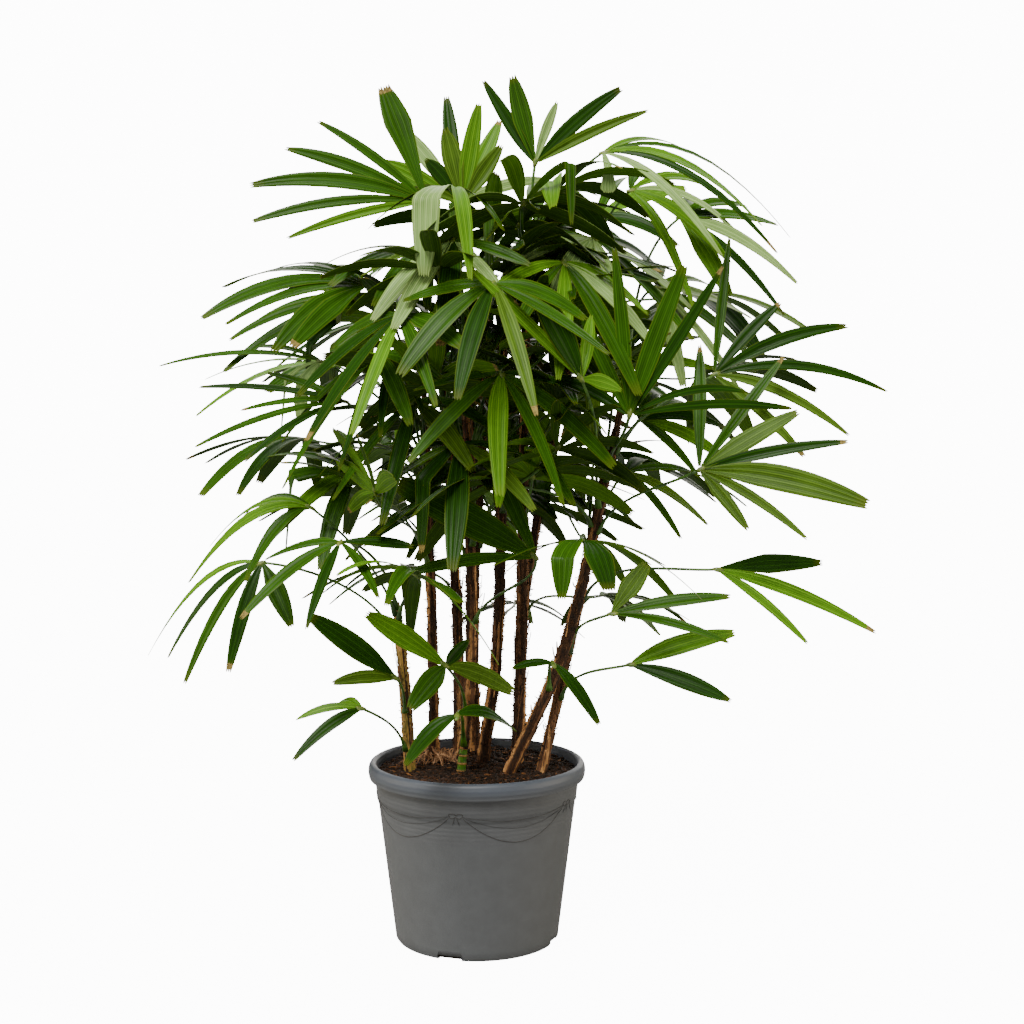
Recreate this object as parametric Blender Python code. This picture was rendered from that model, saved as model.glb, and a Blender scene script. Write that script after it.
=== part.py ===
"""Lady palm in a grey nursery pot, as separate solids.

Metres, +Z up. The origin is the centre of the pot's flat underside, and the side that is
usually shown faces -Y. Ten canes stand on the soil with a flat cut, and each frond is a
three-sided stalk with a fan of thin leaflets fused to its end.
"""
import math
import random

import bmesh
import bpy
from mathutils import Vector
from mathutils.bvhtree import BVHTree

UP = Vector((0.0, 0.0, 1.0))
GAP = 0.0003

# Pot: a tapered moulded tub with a rolled rim
POT_HEIGHT = 0.280
POT_BASE_RADIUS = 0.1275
POT_WALL = 0.003
POT_FLOOR = 0.0045
POT_TAPER = 0.1225
RIM_RADIUS = 0.170
RIM_DEPTH = 0.0255
STEP_BELOW_RIM = 0.034
STEP_DEPTH = 0.0012
POT_SIDES = 48
NOTCH_WIDTH = 0.038
NOTCH_HEIGHT = 0.008
NOTCH_DEPTH = 0.012
NOTCH_COUNT = 4
NOTCH_BEARING = 252.0

# Soil: filled to just under the rim
SOIL_TOP = 0.267
SOIL_EDGE_DROP = 0.004
SOIL_EDGE_WIDTH = 0.012

# Canes: name, radius at the foot, radius at the top, foot (x, y), then points up the cane
CANE_SIDES = 8
CANE_RINGS = 8
CANE_FOOT_FLARE = 1.05
CANES = {
    "cane_a": (0.0086, 0.0058, (-0.103, -0.020), ((-0.112, -0.018, 0.40), (-0.124, -0.015, 0.53))),
    "cane_b": (0.0078, 0.0060, (-0.069, 0.050), ((-0.073, 0.055, 0.50), (-0.085, 0.060, 0.86))),
    "cane_c": (0.0086, 0.0060, (-0.031, 0.085), ((-0.034, 0.090, 0.50), (-0.060, 0.105, 0.95))),
    "cane_d": (0.0086, 0.0062, (-0.024, -0.030), ((-0.008, -0.025, 0.48), (-0.016, -0.030, 1.00))),
    "cane_e": (0.0092, 0.0060, (0.008, 0.035), ((0.034, 0.035, 0.50), (0.040, 0.050, 1.02))),
    "cane_f": (0.0092, 0.0058, (0.063, 0.030), ((0.070, 0.025, 0.50), (0.078, 0.010, 1.08))),
    "cane_g": (0.0092, 0.0066, (0.050, -0.035), ((0.140, -0.050, 0.48), (0.222, -0.060, 0.84))),
    "cane_h": (0.0078, 0.0058, (0.100, -0.030), ((0.126, -0.020, 0.38), (0.176, 0.000, 0.60))),
    "cane_i": (0.0080, 0.0054, (-0.006, 0.110), ((-0.006, 0.140, 0.55), (0.020, 0.185, 1.00))),
    "cane_j": (0.0080, 0.0054, (0.068, 0.095), ((0.080, 0.110, 0.55), (0.165, 0.160, 0.98))),
}

# Fronds: name, cane, height of the foot on the cane, hub (x, y, z), then the fan of the
# blade: bearing and rise of its middle leaflet, roll, leaflet count, spread, length, droop.
# Bearings run from +X through +Y. Fronds of one name share a foot and are one solid.
FRONDS = (
    ("frond_top_1", "cane_d", 0.93, (-0.07, -0.12, 1.13), 182, 30, 72, 6, 80, 0.25, 0.45),
    ("frond_top_1", "cane_d", 0.93, (-0.03, -0.17, 1.07), 255, -40, 0, 6, 150, 0.18, 0.40),
    ("frond_top_2", "cane_c", 0.90, (-0.02, -0.04, 1.135), 170, 68, 70, 5, 90, 0.16, 0.50),
    ("frond_top_3", "cane_d", 0.97, (-0.03, -0.17, 1.14), 250, 15, 0, 4, 130, 0.14, 1.00),
    ("frond_top_3", "cane_d", 0.97, (-0.07, -0.05, 1.06), 228, 8, 20, 6, 150, 0.17, 0.80),
    ("frond_top_4", "cane_e", 0.96, (-0.03, 0.06, 1.15), 100, 72, 0, 5, 120, 0.19, 0.15),
    ("frond_top_4", "cane_e", 0.96, (0.02, -0.02, 1.10), 245, 48, 0, 6, 200, 0.19, 0.60),
    ("frond_top_5", "cane_f", 1.03, (0.09, -0.02, 1.20), 0, 75, -76, 5, 92, 0.20, 0.25),
    ("frond_top_6", "cane_f", 0.99, (0.07, -0.16, 1.12), 285, 42, 0, 6, 200, 0.20, 0.85),
    ("frond_top_6", "cane_f", 0.99, (0.13, -0.15, 1.04), 292, -44, 0, 6, 170, 0.19, 0.50),
    ("frond_top_7", "cane_f", 1.06, (0.19, -0.06, 1.21), 354, 12, -40, 6, 112, 0.30, 1.00),
    ("frond_top_7", "cane_f", 1.06, (0.12, -0.07, 1.15), 320, 34, 0, 6, 180, 0.19, 0.80),
    ("frond_top_8", "cane_j", 0.92, (0.24, 0.06, 1.17), 8, 12, -45, 5, 130, 0.19, 0.80),
    ("frond_top_8", "cane_j", 0.92, (0.18, 0.00, 1.09), 305, -35, 0, 6, 180, 0.20, 0.50),
    ("frond_top_9", "cane_g", 0.82, (0.32, 0.08, 1.13), 4, 4, -50, 6, 130, 0.19, 0.70),
    ("frond_top_9", "cane_g", 0.82, (0.28, 0.05, 1.02), 15, -10, -45, 6, 150, 0.19, 0.50),
    ("frond_right_1", "cane_g", 0.72, (0.22, -0.22, 0.82), 0, 80, -72, 7, 128, 0.25, 0.15),
    ("frond_right_2", "cane_g", 0.76, (0.36, -0.05, 0.88), 2, 25, -68, 6, 118, 0.27, 0.50),
    ("frond_right_3", "cane_g", 0.64, (0.33, -0.13, 0.74), 356, 25, -66, 7, 138, 0.25, 0.40),
    ("frond_right_4", "cane_g", 0.60, (0.23, 0.00, 0.73), 30, 12, -40, 5, 140, 0.13, 0.60),
    ("frond_right_4", "cane_g", 0.60, (0.26, 0.10, 0.81), 20, 28, -50, 6, 140, 0.17, 0.60),
    ("frond_right_4", "cane_g", 0.60, (0.22, 0.04, 0.90), 80, 50, 0, 6, 150, 0.19, 0.40),
    ("frond_right_5", "cane_h", 0.53, (0.36, -0.10, 0.59), 356, -6, -55, 3, 43, 0.23, 0.45),
    ("frond_right_6", "cane_h", 0.45, (0.20, -0.15, 0.53), 352, 6, -55, 3, 63, 0.18, 0.60),
    ("frond_right_7", "cane_h", 0.38, (0.23, -0.12, 0.45), 354, 4, -60, 2, 40, 0.17, 0.30),
    ("frond_middle_1", "cane_h", 0.58, (0.15, -0.30, 0.65), 278, 14, 0, 5, 180, 0.16, 0.80),
    ("frond_middle_2", "cane_d", 0.50, (0.09, -0.12, 0.61), 176, 40, 66, 3, 66, 0.24, 0.45),
    ("frond_middle_3", "cane_g", 0.68, (0.15, -0.28, 0.87), 182, 55, 66, 4, 129, 0.22, 0.40),
    ("frond_middle_3", "cane_g", 0.68, (0.12, -0.14, 0.84), 215, 48, 0, 6, 170, 0.18, 0.60),
    ("frond_middle_4", "cane_d", 0.86, (0.03, -0.28, 1.00), 265, -40, 0, 6, 180, 0.19, 0.50),
    ("frond_middle_4", "cane_d", 0.86, (-0.05, -0.20, 1.02), 240, 36, 0, 6, 170, 0.18, 0.70),
    ("frond_middle_5", "cane_d", 0.76, (0.04, -0.20, 0.88), 285, -45, 0, 6, 180, 0.18, 0.40),
    ("frond_middle_5", "cane_d", 0.76, (0.10, -0.10, 0.94), 300, 52, 0, 6, 190, 0.19, 0.60),
    ("frond_middle_6", "cane_d", 0.62, (0.12, -0.16, 0.77), 295, 48, 0, 6, 190, 0.17, 0.60),
    ("frond_middle_6", "cane_d", 0.62, (-0.02, -0.15, 0.78), 250, -30, 0, 6, 190, 0.18, 0.50),
    ("frond_left_1", "cane_c", 0.84, (-0.16, -0.10, 1.01), 190, 16, 35, 7, 120, 0.23, 0.60),
    ("frond_left_1", "cane_c", 0.84, (-0.11, -0.02, 0.99), 215, 30, 0, 6, 170, 0.19, 0.60),
    ("frond_left_2", "cane_b", 0.82, (-0.17, 0.02, 0.99), 182, 15, 42, 6, 107, 0.22, 0.60),
    ("frond_left_2", "cane_b", 0.82, (-0.14, -0.13, 0.91), 236, -40, 0, 6, 170, 0.18, 0.50),
    ("frond_left_3", "cane_d", 0.72, (-0.10, -0.24, 0.96), 235, -38, 0, 6, 170, 0.18, 0.50),
    ("frond_left_3", "cane_d", 0.72, (-0.06, -0.15, 0.86), 250, 58, 0, 6, 180, 0.18, 0.50),
    ("frond_left_4", "cane_b", 0.74, (-0.23, -0.05, 0.90), 184, 12, 34, 4, 74, 0.25, 0.90),
    ("frond_left_4", "cane_b", 0.74, (-0.12, -0.06, 0.95), 225, 48, 0, 6, 190, 0.19, 0.60),
    ("frond_left_5", "cane_b", 0.66, (-0.19, -0.12, 0.84), 188, 10, 38, 5, 64, 0.22, 0.65),
    ("frond_left_5", "cane_b", 0.66, (-0.09, -0.10, 0.84), 240, -35, 0, 6, 190, 0.18, 0.50),
    ("frond_left_6", "cane_b", 0.58, (-0.14, -0.20, 0.71), 215, 70, 10, 5, 158, 0.15, 0.45),
    ("frond_left_6", "cane_b", 0.58, (-0.19, 0.00, 0.73), 190, 20, 40, 6, 140, 0.19, 0.60),
    ("frond_left_7", "cane_a", 0.50, (-0.08, -0.20, 0.59), 220, 34, 0, 7, 240, 0.16, 0.70),
    ("frond_left_8", "cane_a", 0.52, (-0.19, -0.20, 0.64), 255, -28, 0, 5, 200, 0.15, 0.40),
    ("frond_left_9", "cane_a", 0.47, (-0.33, -0.02, 0.592), 186, -20, 58, 5, 130, 0.19, 0.60),
    ("frond_left_10", "cane_a", 0.51, (-0.243, -0.10, 0.682), 188, 26, 34, 4, 60, 0.19, 0.70),
    ("frond_low_1", "cane_a", 0.36, (-0.12, -0.07, 0.42), 186, 34, 60, 2, 30, 0.17, 0.40),
    ("frond_low_2", "cane_d", 0.36, (-0.043, -0.13, 0.45), 182, 40, 60, 4, 204, 0.12, 0.55),
    ("frond_low_3", "cane_a", 0.30, (-0.17, -0.10, 0.38), 188, 10, 50, 3, 72, 0.11, 0.70),
    ("frond_low_4", "cane_d", 0.31, (-0.024, -0.20, 0.39), 264, -32, 0, 2, 100, 0.08, 0.70),
    ("frond_low_5", "cane_g", 0.40, (0.115, -0.15, 0.457), 290, -35, 0, 2, 90, 0.09, 0.80),
    ("frond_back_1", "cane_i", 0.97, (-0.04, 0.32, 1.11), 100, 16, 0, 6, 160, 0.24, 0.70),
    ("frond_back_1", "cane_i", 0.97, (0.10, 0.30, 1.16), 70, 40, 0, 6, 180, 0.22, 0.50),
    ("frond_back_2", "cane_j", 0.95, (0.20, 0.26, 1.15), 70, 50, 0, 5, 170, 0.20, 0.50),
    ("frond_back_2", "cane_j", 0.95, (0.34, 0.26, 1.02), 35, 12, 0, 6, 170, 0.24, 0.70),
    ("frond_back_3", "cane_i", 0.88, (0.06, 0.40, 0.96), 88, 8, 0, 6, 190, 0.24, 0.70),
    ("frond_back_3", "cane_i", 0.88, (-0.14, 0.34, 0.98), 130, 12, 0, 6, 170, 0.23, 0.70),
    ("frond_back_4", "cane_j", 0.84, (0.36, 0.16, 0.88), 15, 15, 20, 6, 160, 0.24, 0.60),
    ("frond_back_4", "cane_j", 0.84, (0.24, 0.36, 0.88), 62, 6, 0, 6, 180, 0.23, 0.70),
    ("frond_back_5", "cane_c", 0.76, (-0.24, 0.24, 0.90), 150, 14, 0, 6, 160, 0.24, 0.70),
    ("frond_back_5", "cane_c", 0.76, (-0.08, 0.26, 0.80), 112, 0, 0, 6, 190, 0.20, 0.60),
    ("frond_back_6", "cane_i", 0.74, (0.12, 0.36, 0.76), 80, 0, 0, 6, 190, 0.22, 0.60),
    ("frond_back_6", "cane_i", 0.74, (-0.04, 0.34, 0.70), 105, -8, 0, 5, 170, 0.22, 0.60),
    ("frond_back_7", "cane_b", 0.70, (-0.28, 0.12, 0.78), 165, 8, 0, 6, 150, 0.22, 0.70),
    ("frond_back_7", "cane_b", 0.70, (-0.20, 0.22, 0.70), 140, -6, 0, 5, 160, 0.20, 0.60),
    ("frond_back_8", "cane_j", 0.68, (0.27, 0.26, 0.73), 55, 10, 0, 6, 170, 0.19, 0.60),
    ("frond_back_8", "cane_j", 0.68, (0.18, 0.30, 0.60), 65, -8, 0, 5, 170, 0.19, 0.60),
    ("frond_back_9", "cane_c", 0.52, (-0.13, 0.22, 0.56), 130, 4, 0, 5, 170, 0.18, 0.60),
    ("frond_back_10", "cane_e", 0.46, (0.06, 0.20, 0.50), 85, 6, 0, 5, 190, 0.16, 0.60),
    ("frond_back_11", "cane_f", 0.50, (0.20, 0.14, 0.52), 30, 8, 0, 5, 160, 0.18, 0.60),
)

# Blades measured leaf by leaf, for the first frond of that name: each leaflet's angle from the
# blade's middle towards its side, then its length, width and droop.
MEASURED = {
    "frond_top_1": ((-38, 0.20, 0.015, 0.40), (-25, 0.25, 0.017, 0.50), (-10, 0.27, 0.025, 0.60),
                    (0, 0.235, 0.021, 0.40), (15, 0.215, 0.016, 0.30), (43, 0.19, 0.044, 0.05)),
    "frond_top_2": ((-30, 0.13, 0.022, 1.20), (-10, 0.11, 0.026, 0.50), (11, 0.13, 0.032, 0.20),
                    (29, 0.165, 0.028, 0.10), (53, 0.12, 0.026, 0.20)),
    "frond_top_3": ((-72, 0.09, 0.030, 1.50), (-31, 0.155, 0.024, 2.20), (6, 0.175, 0.044, 2.30),
                    (60, 0.12, 0.020, 1.20)),
    "frond_top_5": ((-47, 0.155, 0.021, 0.05), (-31, 0.14, 0.031, 0.05), (2, 0.10, 0.016, 0.10),
                    (28, 0.19, 0.024, 0.35), (45, 0.20, 0.018, 0.35)),
    "frond_top_7": ((-36, 0.15, 0.020, 0.80), (-16, 0.305, 0.018, 1.50), (0, 0.24, 0.028, 1.35),
                    (16, 0.26, 0.016, 1.20), (38, 0.20, 0.018, 1.20), (76, 0.055, 0.044, 2.40)),
    "frond_right_1": ((-62, 0.14, 0.018, 0.50), (-36, 0.18, 0.022, 0.20), (-14, 0.24, 0.021, 0.05),
                      (8, 0.225, 0.029, 0.05), (23, 0.25, 0.019, 0.08), (48, 0.20, 0.012, 0.80),
                      (67, 0.23, 0.014, 0.35)),
    "frond_right_2": ((-58, 0.23, 0.016, 0.03), (-29, 0.17, 0.020, 0.25), (-10, 0.24, 0.022, 0.45),
                      (8, 0.27, 0.017, 0.75), (30, 0.20, 0.017, 0.80), (60, 0.16, 0.018, 0.45)),
    "frond_right_3": ((-66, 0.20, 0.021, 0.03), (-31, 0.22, 0.019, 0.10), (-10, 0.17, 0.030, 0.10),
                      (8, 0.225, 0.019, 0.30), (27, 0.24, 0.040, 0.35), (48, 0.17, 0.016, 0.40),
                      (72, 0.10, 0.020, 0.40)),
    "frond_right_5": ((-18, 0.16, 0.034, 0.15), (5, 0.235, 0.023, 0.45), (25, 0.15, 0.016, 0.50)),
    "frond_right_6": ((-55, 0.10, 0.034, 0.10), (-12, 0.18, 0.022, 0.30), (8, 0.17, 0.015, 0.40)),
    "frond_right_7": ((-24, 0.17, 0.032, 0.25), (16, 0.15, 0.027, 0.30)),
    "frond_middle_1": ((-100, 0.10, 0.018, 0.60), (-70, 0.165, 0.020, 1.10), (-18, 0.080, 0.044, 1.90),
                       (32, 0.115, 0.036, 1.60), (80, 0.125, 0.020, 0.55)),
    "frond_middle_2": ((-38, 0.20, 0.020, 0.40), (-10, 0.24, 0.052, 0.15), (28, 0.18, 0.028, 0.10)),
    "frond_middle_3": ((-9, 0.22, 0.019, 0.05), (13, 0.15, 0.040, 0.25), (48, 0.11, 0.020, 0.30),
                       (120, 0.06, 0.024, 0.60)),
    "frond_left_2": ((-45, 0.15, 0.016, 0.90), (-24, 0.22, 0.022, 0.90), (-8, 0.21, 0.021, 0.80),
                     (8, 0.18, 0.014, 0.90), (24, 0.22, 0.017, 1.00), (62, 0.09, 0.026, 1.60)),
    "frond_left_4": ((-46, 0.09, 0.030, 2.60), (-18, 0.13, 0.014, 2.40), (4, 0.25, 0.014, 0.50),
                     (28, 0.15, 0.016, 0.60)),
    "frond_left_5": ((-36, 0.17, 0.015, 0.50), (-20, 0.22, 0.014, 0.50), (-5, 0.15, 0.014, 0.40),
                     (9, 0.22, 0.015, 0.35), (28, 0.14, 0.017, 0.30)),
    "frond_left_6": ((-62, 0.15, 0.030, 0.40), (-10, 0.11, 0.020, 0.30), (34, 0.135, 0.024, 0.30),
                     (62, 0.125, 0.038, 0.30), (96, 0.12, 0.022, 0.50)),
    "frond_left_9": ((-100, 0.095, 0.032, 0.50), (-45, 0.11, 0.024, 1.30), (-6, 0.13, 0.018, 2.00),
                     (19, 0.15, 0.014, 1.80), (36, 0.195, 0.014, 1.90)),
    "frond_left_10": ((-34, 0.11, 0.024, 2.00), (-13, 0.19, 0.026, 1.70), (5, 0.17, 0.018, 1.60),
                      (24, 0.15, 0.016, 1.50)),
    "frond_low_1": ((-24, 0.10, 0.022, 0.50), (6, 0.165, 0.038, 0.10)),
    "frond_low_2": ((-79, 0.075, 0.034, 0.40), (-3, 0.145, 0.034, 0.15), (91, 0.06, 0.020, 0.20),
                    (145, 0.105, 0.030, 0.50)),
    "frond_low_3": ((-28, 0.11, 0.020, 0.80), (6, 0.10, 0.014, 0.80), (44, 0.06, 0.016, 1.20)),
    "frond_low_4": ((-120, 0.09, 0.036, 1.10), (60, 0.080, 0.034, 1.10)),
    "frond_low_5": ((-30, 0.09, 0.024, 0.80), (108, 0.06, 0.018, 0.60)),
}

# Stalks and leaflets
STALK_HALF_WIDTH = 0.0028
STALK_RISE = 0.0042
STALK_RINGS = 5
HUB_RADIUS = 0.007
LEAFLET_STATIONS = (0.20, 0.46, 0.76, 1.0)
LEAFLET_WIDTHS = (0.62, 1.0, 0.90, 0.40)
LEAFLET_WIDTH_SHARE = 0.165
LEAFLET_WIDEST = 0.044
WIDTH_RANGE = (0.55, 1.15)
DROOP_RANGE = (0.8, 1.7)
LEAFLET_THICKNESS_SHARE = 0.013
OUTER_SHORTENING = 0.25
FAN_UNEVENNESS = 0.12
NEIGHBOUR_ROOM = 0.90
BEYOND_CANE = 0.05
FOOT_GAP = GAP * 1.2
CLEARANCE = 0.0009
ROOT_MARGIN = 12
SWINGS = (0, 5, -5, 10, -10, 16, -16, 22, -22)
DROOP_CHANGES = (1.0, 0.6, 1.5)
LENGTH_CHANGES = (1.0, 0.75, 0.55)
BOWS = (0.0, 0.025, -0.025, 0.05, -0.05, 0.08, -0.08)

SLATE_PLASTIC = (0.105, 0.112, 0.125)
PEAT = (0.030, 0.016, 0.009)
SHEATH_BROWN = (0.085, 0.045, 0.020)
LEAF_GREEN = (0.035, 0.120, 0.015)


def clear_scene():
    for thing in list(bpy.data.objects):
        bpy.data.objects.remove(thing, do_unlink=True)


def material(name, colour, roughness):
    finish = bpy.data.materials.new(name)
    finish.use_nodes = True
    shader = finish.node_tree.nodes["Principled BSDF"]
    shader.inputs["Base Color"].default_value = (*colour, 1.0)
    shader.inputs["Roughness"].default_value = roughness
    shader.inputs["Metallic"].default_value = 0.0
    return finish


def add_object(name, bm, finish):
    mesh = bpy.data.meshes.new(name)
    bm.to_mesh(mesh)
    bm.free()
    thing = bpy.data.objects.new(name, mesh)
    bpy.context.scene.collection.objects.link(thing)
    if finish is not None:
        mesh.materials.append(finish)
    return thing


def turned(name, profile, finish):
    """A closed body of revolution about Z, from an outline that starts and ends on the axis."""
    bm = bmesh.new()
    points = [bm.verts.new((radius, 0.0, height)) for radius, height in profile]
    edges = [bm.edges.new(pair) for pair in zip(points, points[1:])]
    bmesh.ops.spin(bm, geom=points + edges, cent=(0, 0, 0), axis=UP, angle=math.tau,
                   steps=POT_SIDES, use_merge=True)
    bmesh.ops.remove_doubles(bm, verts=bm.verts[:], dist=0.00002)
    bmesh.ops.recalc_face_normals(bm, faces=bm.faces[:])
    thing = add_object(name, bm, finish)
    thing.data.shade_smooth()
    thing.data.set_sharp_from_angle(angle=math.radians(35))
    return thing


def wall_radius(height):
    """Outer radius of the plain tapered wall at a height."""
    return POT_BASE_RADIUS + POT_TAPER * height


def pot_profile():
    under_rim = POT_HEIGHT - RIM_DEPTH
    step = under_rim - STEP_BELOW_RIM
    inner_top = wall_radius(under_rim) - POT_WALL + STEP_DEPTH
    return (
        (0.0, 0.0),
        (POT_BASE_RADIUS - 0.003, 0.0),
        (wall_radius(0.004), 0.004),
        (wall_radius(step), step),
        (wall_radius(step) + STEP_DEPTH, step + 0.002),
        (wall_radius(under_rim) + STEP_DEPTH, under_rim),
        (RIM_RADIUS - 0.0030, under_rim + 0.0002),
        (RIM_RADIUS - 0.0006, under_rim + 0.0040),
        (RIM_RADIUS, under_rim + 0.0120),
        (RIM_RADIUS - 0.0020, POT_HEIGHT - 0.0042),
        (RIM_RADIUS - 0.0065, POT_HEIGHT),
        (inner_top + 0.0030, POT_HEIGHT - 0.0012),
        (inner_top, POT_HEIGHT - 0.0070),
        (wall_radius(POT_FLOOR) - POT_WALL, POT_FLOOR),
        (0.0, POT_FLOOR),
    )


def make_pot():
    pot = turned("pot", pot_profile(), material("pot_plastic", SLATE_PLASTIC, 0.55))
    bm = bmesh.new()
    for count in range(NOTCH_COUNT):
        bearing = math.radians(NOTCH_BEARING + 360.0 * count / NOTCH_COUNT)
        outward = Vector((math.cos(bearing), math.sin(bearing), 0.0))
        block = bmesh.ops.create_cube(bm, size=1.0)["verts"]
        bmesh.ops.scale(bm, vec=(2.0 * NOTCH_DEPTH, NOTCH_WIDTH, 2.0 * NOTCH_HEIGHT), verts=block)
        turn = outward.to_track_quat("X", "Z").to_matrix()
        bmesh.ops.rotate(bm, matrix=turn, verts=block)
        bmesh.ops.translate(bm, vec=outward * POT_BASE_RADIUS, verts=block)
    cutter = add_object("notch_cutter", bm, None)
    cutter.hide_render = True
    cutter.display_type = "WIRE"
    notches = pot.modifiers.new("Drain notches", "BOOLEAN")
    notches.operation = "DIFFERENCE"
    notches.object = cutter
    return pot


def make_soil():
    low = POT_FLOOR + GAP
    edge = SOIL_TOP - SOIL_EDGE_DROP
    inner_top = wall_radius(POT_HEIGHT - RIM_DEPTH) - POT_WALL + STEP_DEPTH
    slope = (inner_top - wall_radius(POT_FLOOR) + POT_WALL) / (POT_HEIGHT - 0.007 - POT_FLOOR)
    low_radius = wall_radius(POT_FLOOR) - POT_WALL + slope * (low - POT_FLOOR) - GAP
    edge_radius = wall_radius(POT_FLOOR) - POT_WALL + slope * (edge - POT_FLOOR) - GAP
    profile = (
        (0.0, low),
        (low_radius, low),
        (edge_radius, edge),
        (edge_radius - SOIL_EDGE_WIDTH, SOIL_TOP),
        (0.0, SOIL_TOP),
    )
    return turned("soil", profile, material("soil_peat", PEAT, 0.95))


def curve_through(points, count):
    """Points evenly shared along a smooth curve through the given points."""
    padded = [points[0] * 2 - points[1], *points, points[-1] * 2 - points[-2]]
    spans = len(points) - 1
    result = []
    for step in range(count + 1):
        place = min(step / count * spans, spans - 1e-6)
        span = int(place)
        t = place - span
        a, b, c, d = padded[span:span + 4]
        result.append(0.5 * (2 * b + (c - a) * t + (2 * a - 5 * b + 4 * c - d) * t * t
                             + (3 * b - a - 3 * c + d) * t * t * t))
    return result


def skin(bm, rings, closed_end=True):
    """Side faces between rings of vertices, with a face at the start and the end."""
    loops = [[bm.verts.new(point) for point in ring] for ring in rings]
    join(bm, loops)
    bm.faces.new(loops[0])
    if closed_end:
        bm.faces.new(loops[-1])
    return loops


def join(bm, loops):
    """Triangles between loops of vertices, always split the same way."""
    sides = len(loops[0])
    for lower, upper in zip(loops, loops[1:]):
        for side in range(sides):
            after = (side + 1) % sides
            bm.faces.new((lower[side], lower[after], upper[after]))
            bm.faces.new((lower[side], upper[after], upper[side]))


def ring_about(centre, side, up, radius, sides):
    return [
        centre + (side * math.cos(math.tau * k / sides) + up * math.sin(math.tau * k / sides)) * radius
        for k in range(sides)
    ]


def cane_points(name):
    _, _, foot, points = CANES[name]
    start = Vector((foot[0], foot[1], SOIL_TOP + GAP))
    return curve_through([start, *[Vector(point) for point in points]], CANE_RINGS)


def make_cane(name):
    foot_radius, top_radius = CANES[name][:2]
    points = cane_points(name)
    rings = []
    for count, centre in enumerate(points):
        share = count / CANE_RINGS
        radius = foot_radius + (top_radius - foot_radius) * share ** 1.5
        if count == 0:
            radius *= CANE_FOOT_FLARE
        if count == CANE_RINGS:
            radius *= 0.5
        along = UP
        if 0 < count < CANE_RINGS:
            along = (points[count + 1] - points[count - 1]).normalized()
        side = Vector((0, 1, 0)).cross(along).normalized()
        rings.append(ring_about(centre, side, along.cross(side), radius, CANE_SIDES))
    bm = bmesh.new()
    skin(bm, rings)
    bmesh.ops.recalc_face_normals(bm, faces=bm.faces[:])
    cane = add_object(name, bm, material(name + "_sheath", SHEATH_BROWN, 0.85))
    cane.data.shade_smooth()
    cane.data.set_sharp_from_angle(angle=math.radians(50))
    return cane


def cane_centre(name, height):
    """The point on a cane's middle line at a height."""
    points = cane_points(name)
    for low, high in zip(points, points[1:]):
        if low.z <= height <= high.z:
            return low.lerp(high, (height - low.z) / (high.z - low.z))
    return points[-1]


def heading(bearing, rise):
    flat = math.cos(math.radians(rise))
    return Vector((math.cos(math.radians(bearing)) * flat,
                   math.sin(math.radians(bearing)) * flat,
                   math.sin(math.radians(rise))))


def stalk_path(foot, outward, hub, aim, bow):
    """A stalk that leaves its cane steeply and arches over to the hub."""
    reach = (hub - foot).length
    aside = outward.cross(UP) * bow
    leave = (outward * 0.35 + UP).normalized() * reach * 0.35
    arrive = ((hub - foot).normalized() + aim).normalized() * reach * 0.30
    handle_a = foot + leave + aside
    handle_b = hub - arrive + aside
    result = []
    for step in range(STALK_RINGS):
        t = step / STALK_RINGS
        s = 1 - t
        result.append(foot * s ** 3 + handle_a * 3 * s * s * t + handle_b * 3 * s * t * t + hub * t ** 3)
    return result


def stalk_rings(path, outward, hub_side, extra):
    """Left, right and top of a stalk; the first ring stands flat against the cane."""
    rings = []
    for count, centre in enumerate(path):
        along = outward
        if count == len(path) - 1:
            along = (path[-1] - path[-2]).normalized()
        elif count:
            along = (path[count + 1] - path[count - 1]).normalized()
        level = outward.cross(UP).lerp(hub_side, count / len(path))
        side = (level - along * level.dot(along)).normalized()
        half = STALK_HALF_WIDTH + extra
        top = side.cross(along) * (STALK_RISE + extra)
        rings.append([centre - side * half, centre + side * half, centre + top])
    return rings


def against_cane(cane_tree, centre, outward):
    """The foot of a stalk, as near its cane as the small gap allows."""
    level = outward.cross(UP)
    nearest = None
    for across in (-1.0, -0.5, 0.0, 0.5, 1.0):
        for height in (0.0, 0.25, 0.5, 0.75, 1.0):
            aside = level * across * (1 - height) * STALK_HALF_WIDTH
            start = centre + outward * BEYOND_CANE + aside + UP * height * STALK_RISE
            hit = cane_tree.ray_cast(start, -outward)[0]
            if hit is not None:
                distance = (hit - start).length
                nearest = distance if nearest is None else min(nearest, distance)
    return centre + outward * (BEYOND_CANE - nearest + FOOT_GAP)


def is_measured(frond):
    """True for the first frond of a name whose blade is given leaf by leaf."""
    return frond[0] in MEASURED and frond == next(other for other in FRONDS if other[0] == frond[0])


def fan(frond):
    """Each leaflet of a frond's blade: fan angle, length, width, droop and half its share of the fan."""
    name, _, _, hub, _, _, _, count, spread, length, droop = frond
    half_pitch = spread / (count - 1) / 2
    if is_measured(frond):
        return [(*leaflet, half_pitch) for leaflet in MEASURED[name]]
    draw = random.Random(f"{name} {hub}")
    leaflets = []
    for number in range(count):
        share = number / (count - 1) * 2 - 1
        angle = share * spread / 2 + 2 * half_pitch * draw.uniform(-FAN_UNEVENNESS, FAN_UNEVENNESS)
        long = length * (1 - OUTER_SHORTENING * share * share) * draw.uniform(0.85, 1.10)
        wide = min(length * LEAFLET_WIDTH_SHARE, LEAFLET_WIDEST) * draw.uniform(*WIDTH_RANGE)
        leaflets.append((angle, long, wide, droop * draw.uniform(*DROOP_RANGE), half_pitch))
    return leaflets


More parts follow.
